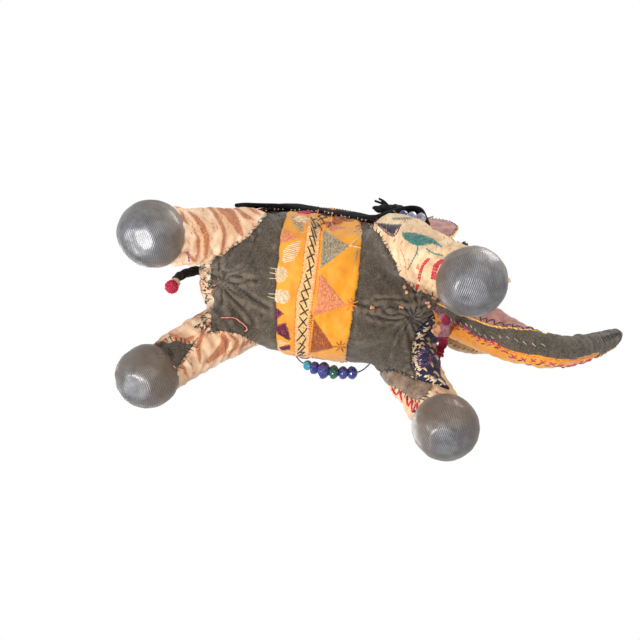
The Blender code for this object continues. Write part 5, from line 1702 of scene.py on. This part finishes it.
for side in ("right", "left"):
    for inset, colour, pitch in ((3.2, "t_red", 3.2), (5.4, "t_cream", 2.4), (8.4, "t_teal", 3.2)):
        running(colour, [(x + OFF[0], HEM_Z + inset) for x in np.arange(-84, 61, 4.0)], pitch, 0.75, 0.42,
                side)
    for k, x in enumerate(np.arange(-74, 60, 14.0)):
        star(("t_magenta", "t_orange", "t_teal", "t_cream")[k % 4], (x + OFF[0], 155.0), 4.2, 8, 0.42, side)
        star("t_cream", (x + OFF[0], 155.0), 1.6, 5, 0.4, side)
        for t in (-3.4, 0, 3.4):
            sew("t_cream", (x + t + OFF[0], 133.5 + 0.5 * abs(t)), (x + t + OFF[0], 136.6), 0.36, 0.25, side)
    running("t_orange", [(x + OFF[0], 163.0 + 1.6 * math.sin(x / 3.5)) for x in np.arange(-84, 61, 1.6)], 2.4,
            0.95, 0.42, side)
for k, (cx, cy) in enumerate([(-62, 0), (-36, 22), (-36, -22), (-10, 0), (16, 22), (16, -22), (42, 0)]):
    c = np.array([cx + OFF[0], cy + OFF[1]])
    for j in range(8):
        a = j * math.pi / 4
        d, n = spoke(a), np.array([-math.sin(a), math.cos(a)])
        for w in (-0.9, 0, 0.9):
            sew(("t_magenta", "t_orange", "t_teal")[k % 3], c + d * 2.4 + n * w * 0.4,
                c + d * (8.5 - abs(w)) + n * w, 0.45, 0.3, "top")
    star("t_yellow", c, 2.2, 8, 0.5, "top")
    running("t_cream", oval(c[0], c[1], 10.5, 10.5, 25), 2.4, 0.8, 0.38, "top")
    running("t_red", oval(c[0], c[1], 12.2, 12.2, 25), 2.8, 0.7, 0.38, "top")
for x in (-84.5, 60.0):
    for dx, colour in ((2.0, "t_cream"), (4.4, "t_red")):
        running(colour, [(x + OFF[0] + (dx if x < 0 else -dx), y + OFF[1]) for y in np.arange(-52, 53, 4.0)],
                2.8, 0.75, 0.42, "top")
left_hem = left_hem_line()
left_roll = pipe(*rounded(left_hem[::2] + [0, 0, -0.4],
                          1.25 + 0.2 * np.sin(np.arange(len(left_hem[::2])) / 2.0)), sides=10)
# on the right flank the cloth hangs clear of the body and flares at the shoulder
flare = curve([d2r(*p) for p in ((-83, -58.5, 139), (-72, -60.5, 139), (-61, -62, 139), (-37, -63.5, 139),
        (-3, -62.8, 139), (20, -63, 139), (30, -64, 140), (38, -66.5, 141), (52, -73, 142),
        (62, -76.5, 142.5), (70, -75.5, 142), (75, -70.5, 141), (78, -65, 140))], 8)
right_roll = pipe(*rounded(flare, 1.7 + 0.3 * np.sin(np.arange(len(flare)) / 3.0)), sides=12, flat=1.3)
make("saddle_hem_roll", merge([left_roll, right_roll]), M["black"], "torso", "black_cotton")
rows = []
for k, p in enumerate(flare):
    h = land((p[0], 151.0), "right")
    base = h[0] + h[1] * 0.4 if h is not None else p + [0, 10, 12]
    rows.append([p + (base - p) * u + np.array([0, -1.4 * math.sin(math.pi * u) + 0.5 * math.sin(k / 2.3) * u,
            0]) for u in np.linspace(0, 1, 7)])
skirt = grid(np.array(rows), closed_u=False, caps=False)
make("saddle_skirt", skirt.thick(0.8), M["black"], "torso", "black_cotton")
# the knotted corner by the right shoulder
knot_c = d2r(49, -71.0, 154)
lumps = []
for d, r in (((0, 0, 0), (13.5, 3.4, 6.0)), ((-11, 2.2, 0.5), (8.5, 3.0, 4.4)),
             ((13, 1.8, -2.5), (8.5, 3.4, 5.0))):
    k = superegg(knot_c + d, r, 2.0, 34, 48)
    k.v = k.v + k.normals() * (0.6 * sines(k.v, 6, 91) + 0.35 * np.sin(k.v[:, 0] * 1.1 + k.v[:, 2]))[:, None]
    lumps.append(k)
for d in ((-17, -2.5, 7), (-14, -4.5, 8), (-11.5, -3, 6)):
    e = np.array(d, float)
    lumps.append(pipe(*rounded(curve([knot_c + e * 0.6, knot_c + e * 0.85 + [0.8, 0, 0], knot_c + e * 1.05],
            6), 1.0), sides=8, flat=0.5))
make("saddle_knot", merge(lumps), M["black"], "torso", "black_cotton")
satin("t_navy", [(-13.3, -72.1), (6.2, -73.3), (0.9, -63.6)], 80, 1.1, 0.5)
running("t_plum", [(-13.3, -72.1), (0.9, -63.6), (6.2, -73.3)], 2.4, 0.9, 0.45)
for k in range(7):
    sew("t_teal", (-1.5 + k * 2.0, -77.5 - 0.4 * k), (1.0 + k * 2.0, -75.8 - 0.4 * k), 0.4, 0.4)
# frayed ends along the seams
for pts, n in ((GUSSET_REAR[3:9], 22), (GUSSET_REAR[9:20], 26), (GUSSET_FRONT[2:9], 22),
               (GUSSET_FRONT[10:21], 26), (LH_PATCH, 10)):
    line = curve(pts, 12)
    for _ in range(n):
        q = line[RNG.integers(len(line))]
        d = RNG.normal(size=2)
        d *= RNG.uniform(1.8, 4.5) / np.linalg.norm(d)
        sew("t_black" if RNG.random() < 0.65 else "t_greygreen", q, q + d, 0.17, 0.9)

for (colour, body), parts in sorted(SEWN.items()):
    o = make("sewn_%s_%s" % (colour[2:], body), merge(parts), M[colour], body, THREAD_SLOT[colour])

# a loose pink thread end curling off the rump seam
h = [land(q) for q in curve([(-127.6, 23.8), (-119.0, 22.6), (-110.5, 25.2), (-106.0, 29.4), (-107.4, 32.0)],
                            7)]
line = np.array([p + n * (0.5 + 1.5 * math.sin(math.pi * k / (len(h) - 1))) for k, (p, n, _) in enumerate(h)])
make("loose_pink_thread", pipe(*rounded(line, 0.38), sides=7), M["t_pink"], "torso", "cream_print")

# trunk needlework, laid straight on its own surface
TS = {}


def trunk_sew(colour, a, b, r=0.4, arch=0.35):
    n = max(4, int(math.hypot(b[0] - a[0], b[1] - a[1]) / 1.8) + 2)
    t = np.linspace(0, 1, n)
    s = a[0] + (b[0] - a[0]) * t
    arc_ = a[1] + (b[1] - a[1]) * t
    rr = np.interp(s, ts, tk[:, 2])
    over = 1.0 * (np.abs(arc_ + strip_off(s)) < strip_half(s)) + 0.45 * ((arc_
            + strip_off(s) >= strip_half(s)))
    up = np.where((t == 0) | (t == 1), -r * 0.6, r * 0.45 + arch * np.sin(np.pi * t)) + over
    pts = trunk_at(s, arc_ / rr, up)
    half = "trunk_root_half" if (a[0] + b[0]) / 2 < CUT_S else "trunk_tip_half"
    TS.setdefault((colour, half), []).append(pipe(*rounded(pts, r), sides=5))


for s in np.arange(12, TIP_S - 2, 3.1):
    w = float(strip_half(np.array(s)))
    k = int(s / 3.1) % 2
    mid = float(strip_off(np.array(s)))
    low = -w - mid
    trunk_sew("t_black", (s, low - 2.2 - 4.0 * k), (s + 3.1, low - 6.2 + 4.0 * k), 0.42)
    trunk_sew("t_yellow", (s, low - 0.9), (s + 2.8, low - 0.9), 0.6, 0.2)
    trunk_sew("t_orange", (s, w - mid + 0.8), (s + 2.6, w - mid + 0.8), 0.5, 0.2)
for s in np.arange(14, TIP_S - 6, 5.2):
    w = float(strip_half(np.array(s)))
    c = w - mid + 6.0 + 1.5 * math.sin(s)
    trunk_sew("t_magenta", (s - 1.6, c - 1.6), (s + 1.6, c + 1.6), 0.42)
    trunk_sew("t_magenta", (s - 1.6, c + 1.6), (s + 1.6, c - 1.6), 0.42)
    trunk_sew("t_purple" if int(s) % 2 else "t_black", (s + 1.5, c + 4),
              (s + 5, c + 2.4 + 2 * math.sin(3 * s)), 0.4)
for s in np.arange(8, TRUNK_LEN - 8, 4.1):
    rr = float(np.interp(s, ts, tk[:, 2]))
    trunk_sew("t_black", (s, math.pi * rr - 2.0), (s + 1.6, math.pi * rr + 2.0), 0.36)
for s in np.arange(TIP_S + 6, TRUNK_LEN - 5, 3.4):
    rr = float(np.interp(s, ts, tk[:, 2]))
    trunk_sew("t_black", (s, -rr * 1.2), (s + 2.2, -rr * 0.55), 0.3)
    trunk_sew("t_sand", (s + 1, rr * 0.5), (s + 2.0, rr * 1.2), 0.28)
for k in range(16):
    s = 40 + 5.0 * k
    if s < TIP_S - 4:
        mid = float(strip_off(np.array(s)))
        trunk_sew("t_silver", (s, 1.5 * math.sin(k) - mid), (s + 2.5, 1.5 * math.sin(k) + 1.6 - mid), 0.26)
for (colour, half), parts in sorted(TS.items()):
    make("trunk_%s_%s" % (colour[2:], half[6:10]), merge(parts), M[colour], half, THREAD_SLOT[colour])
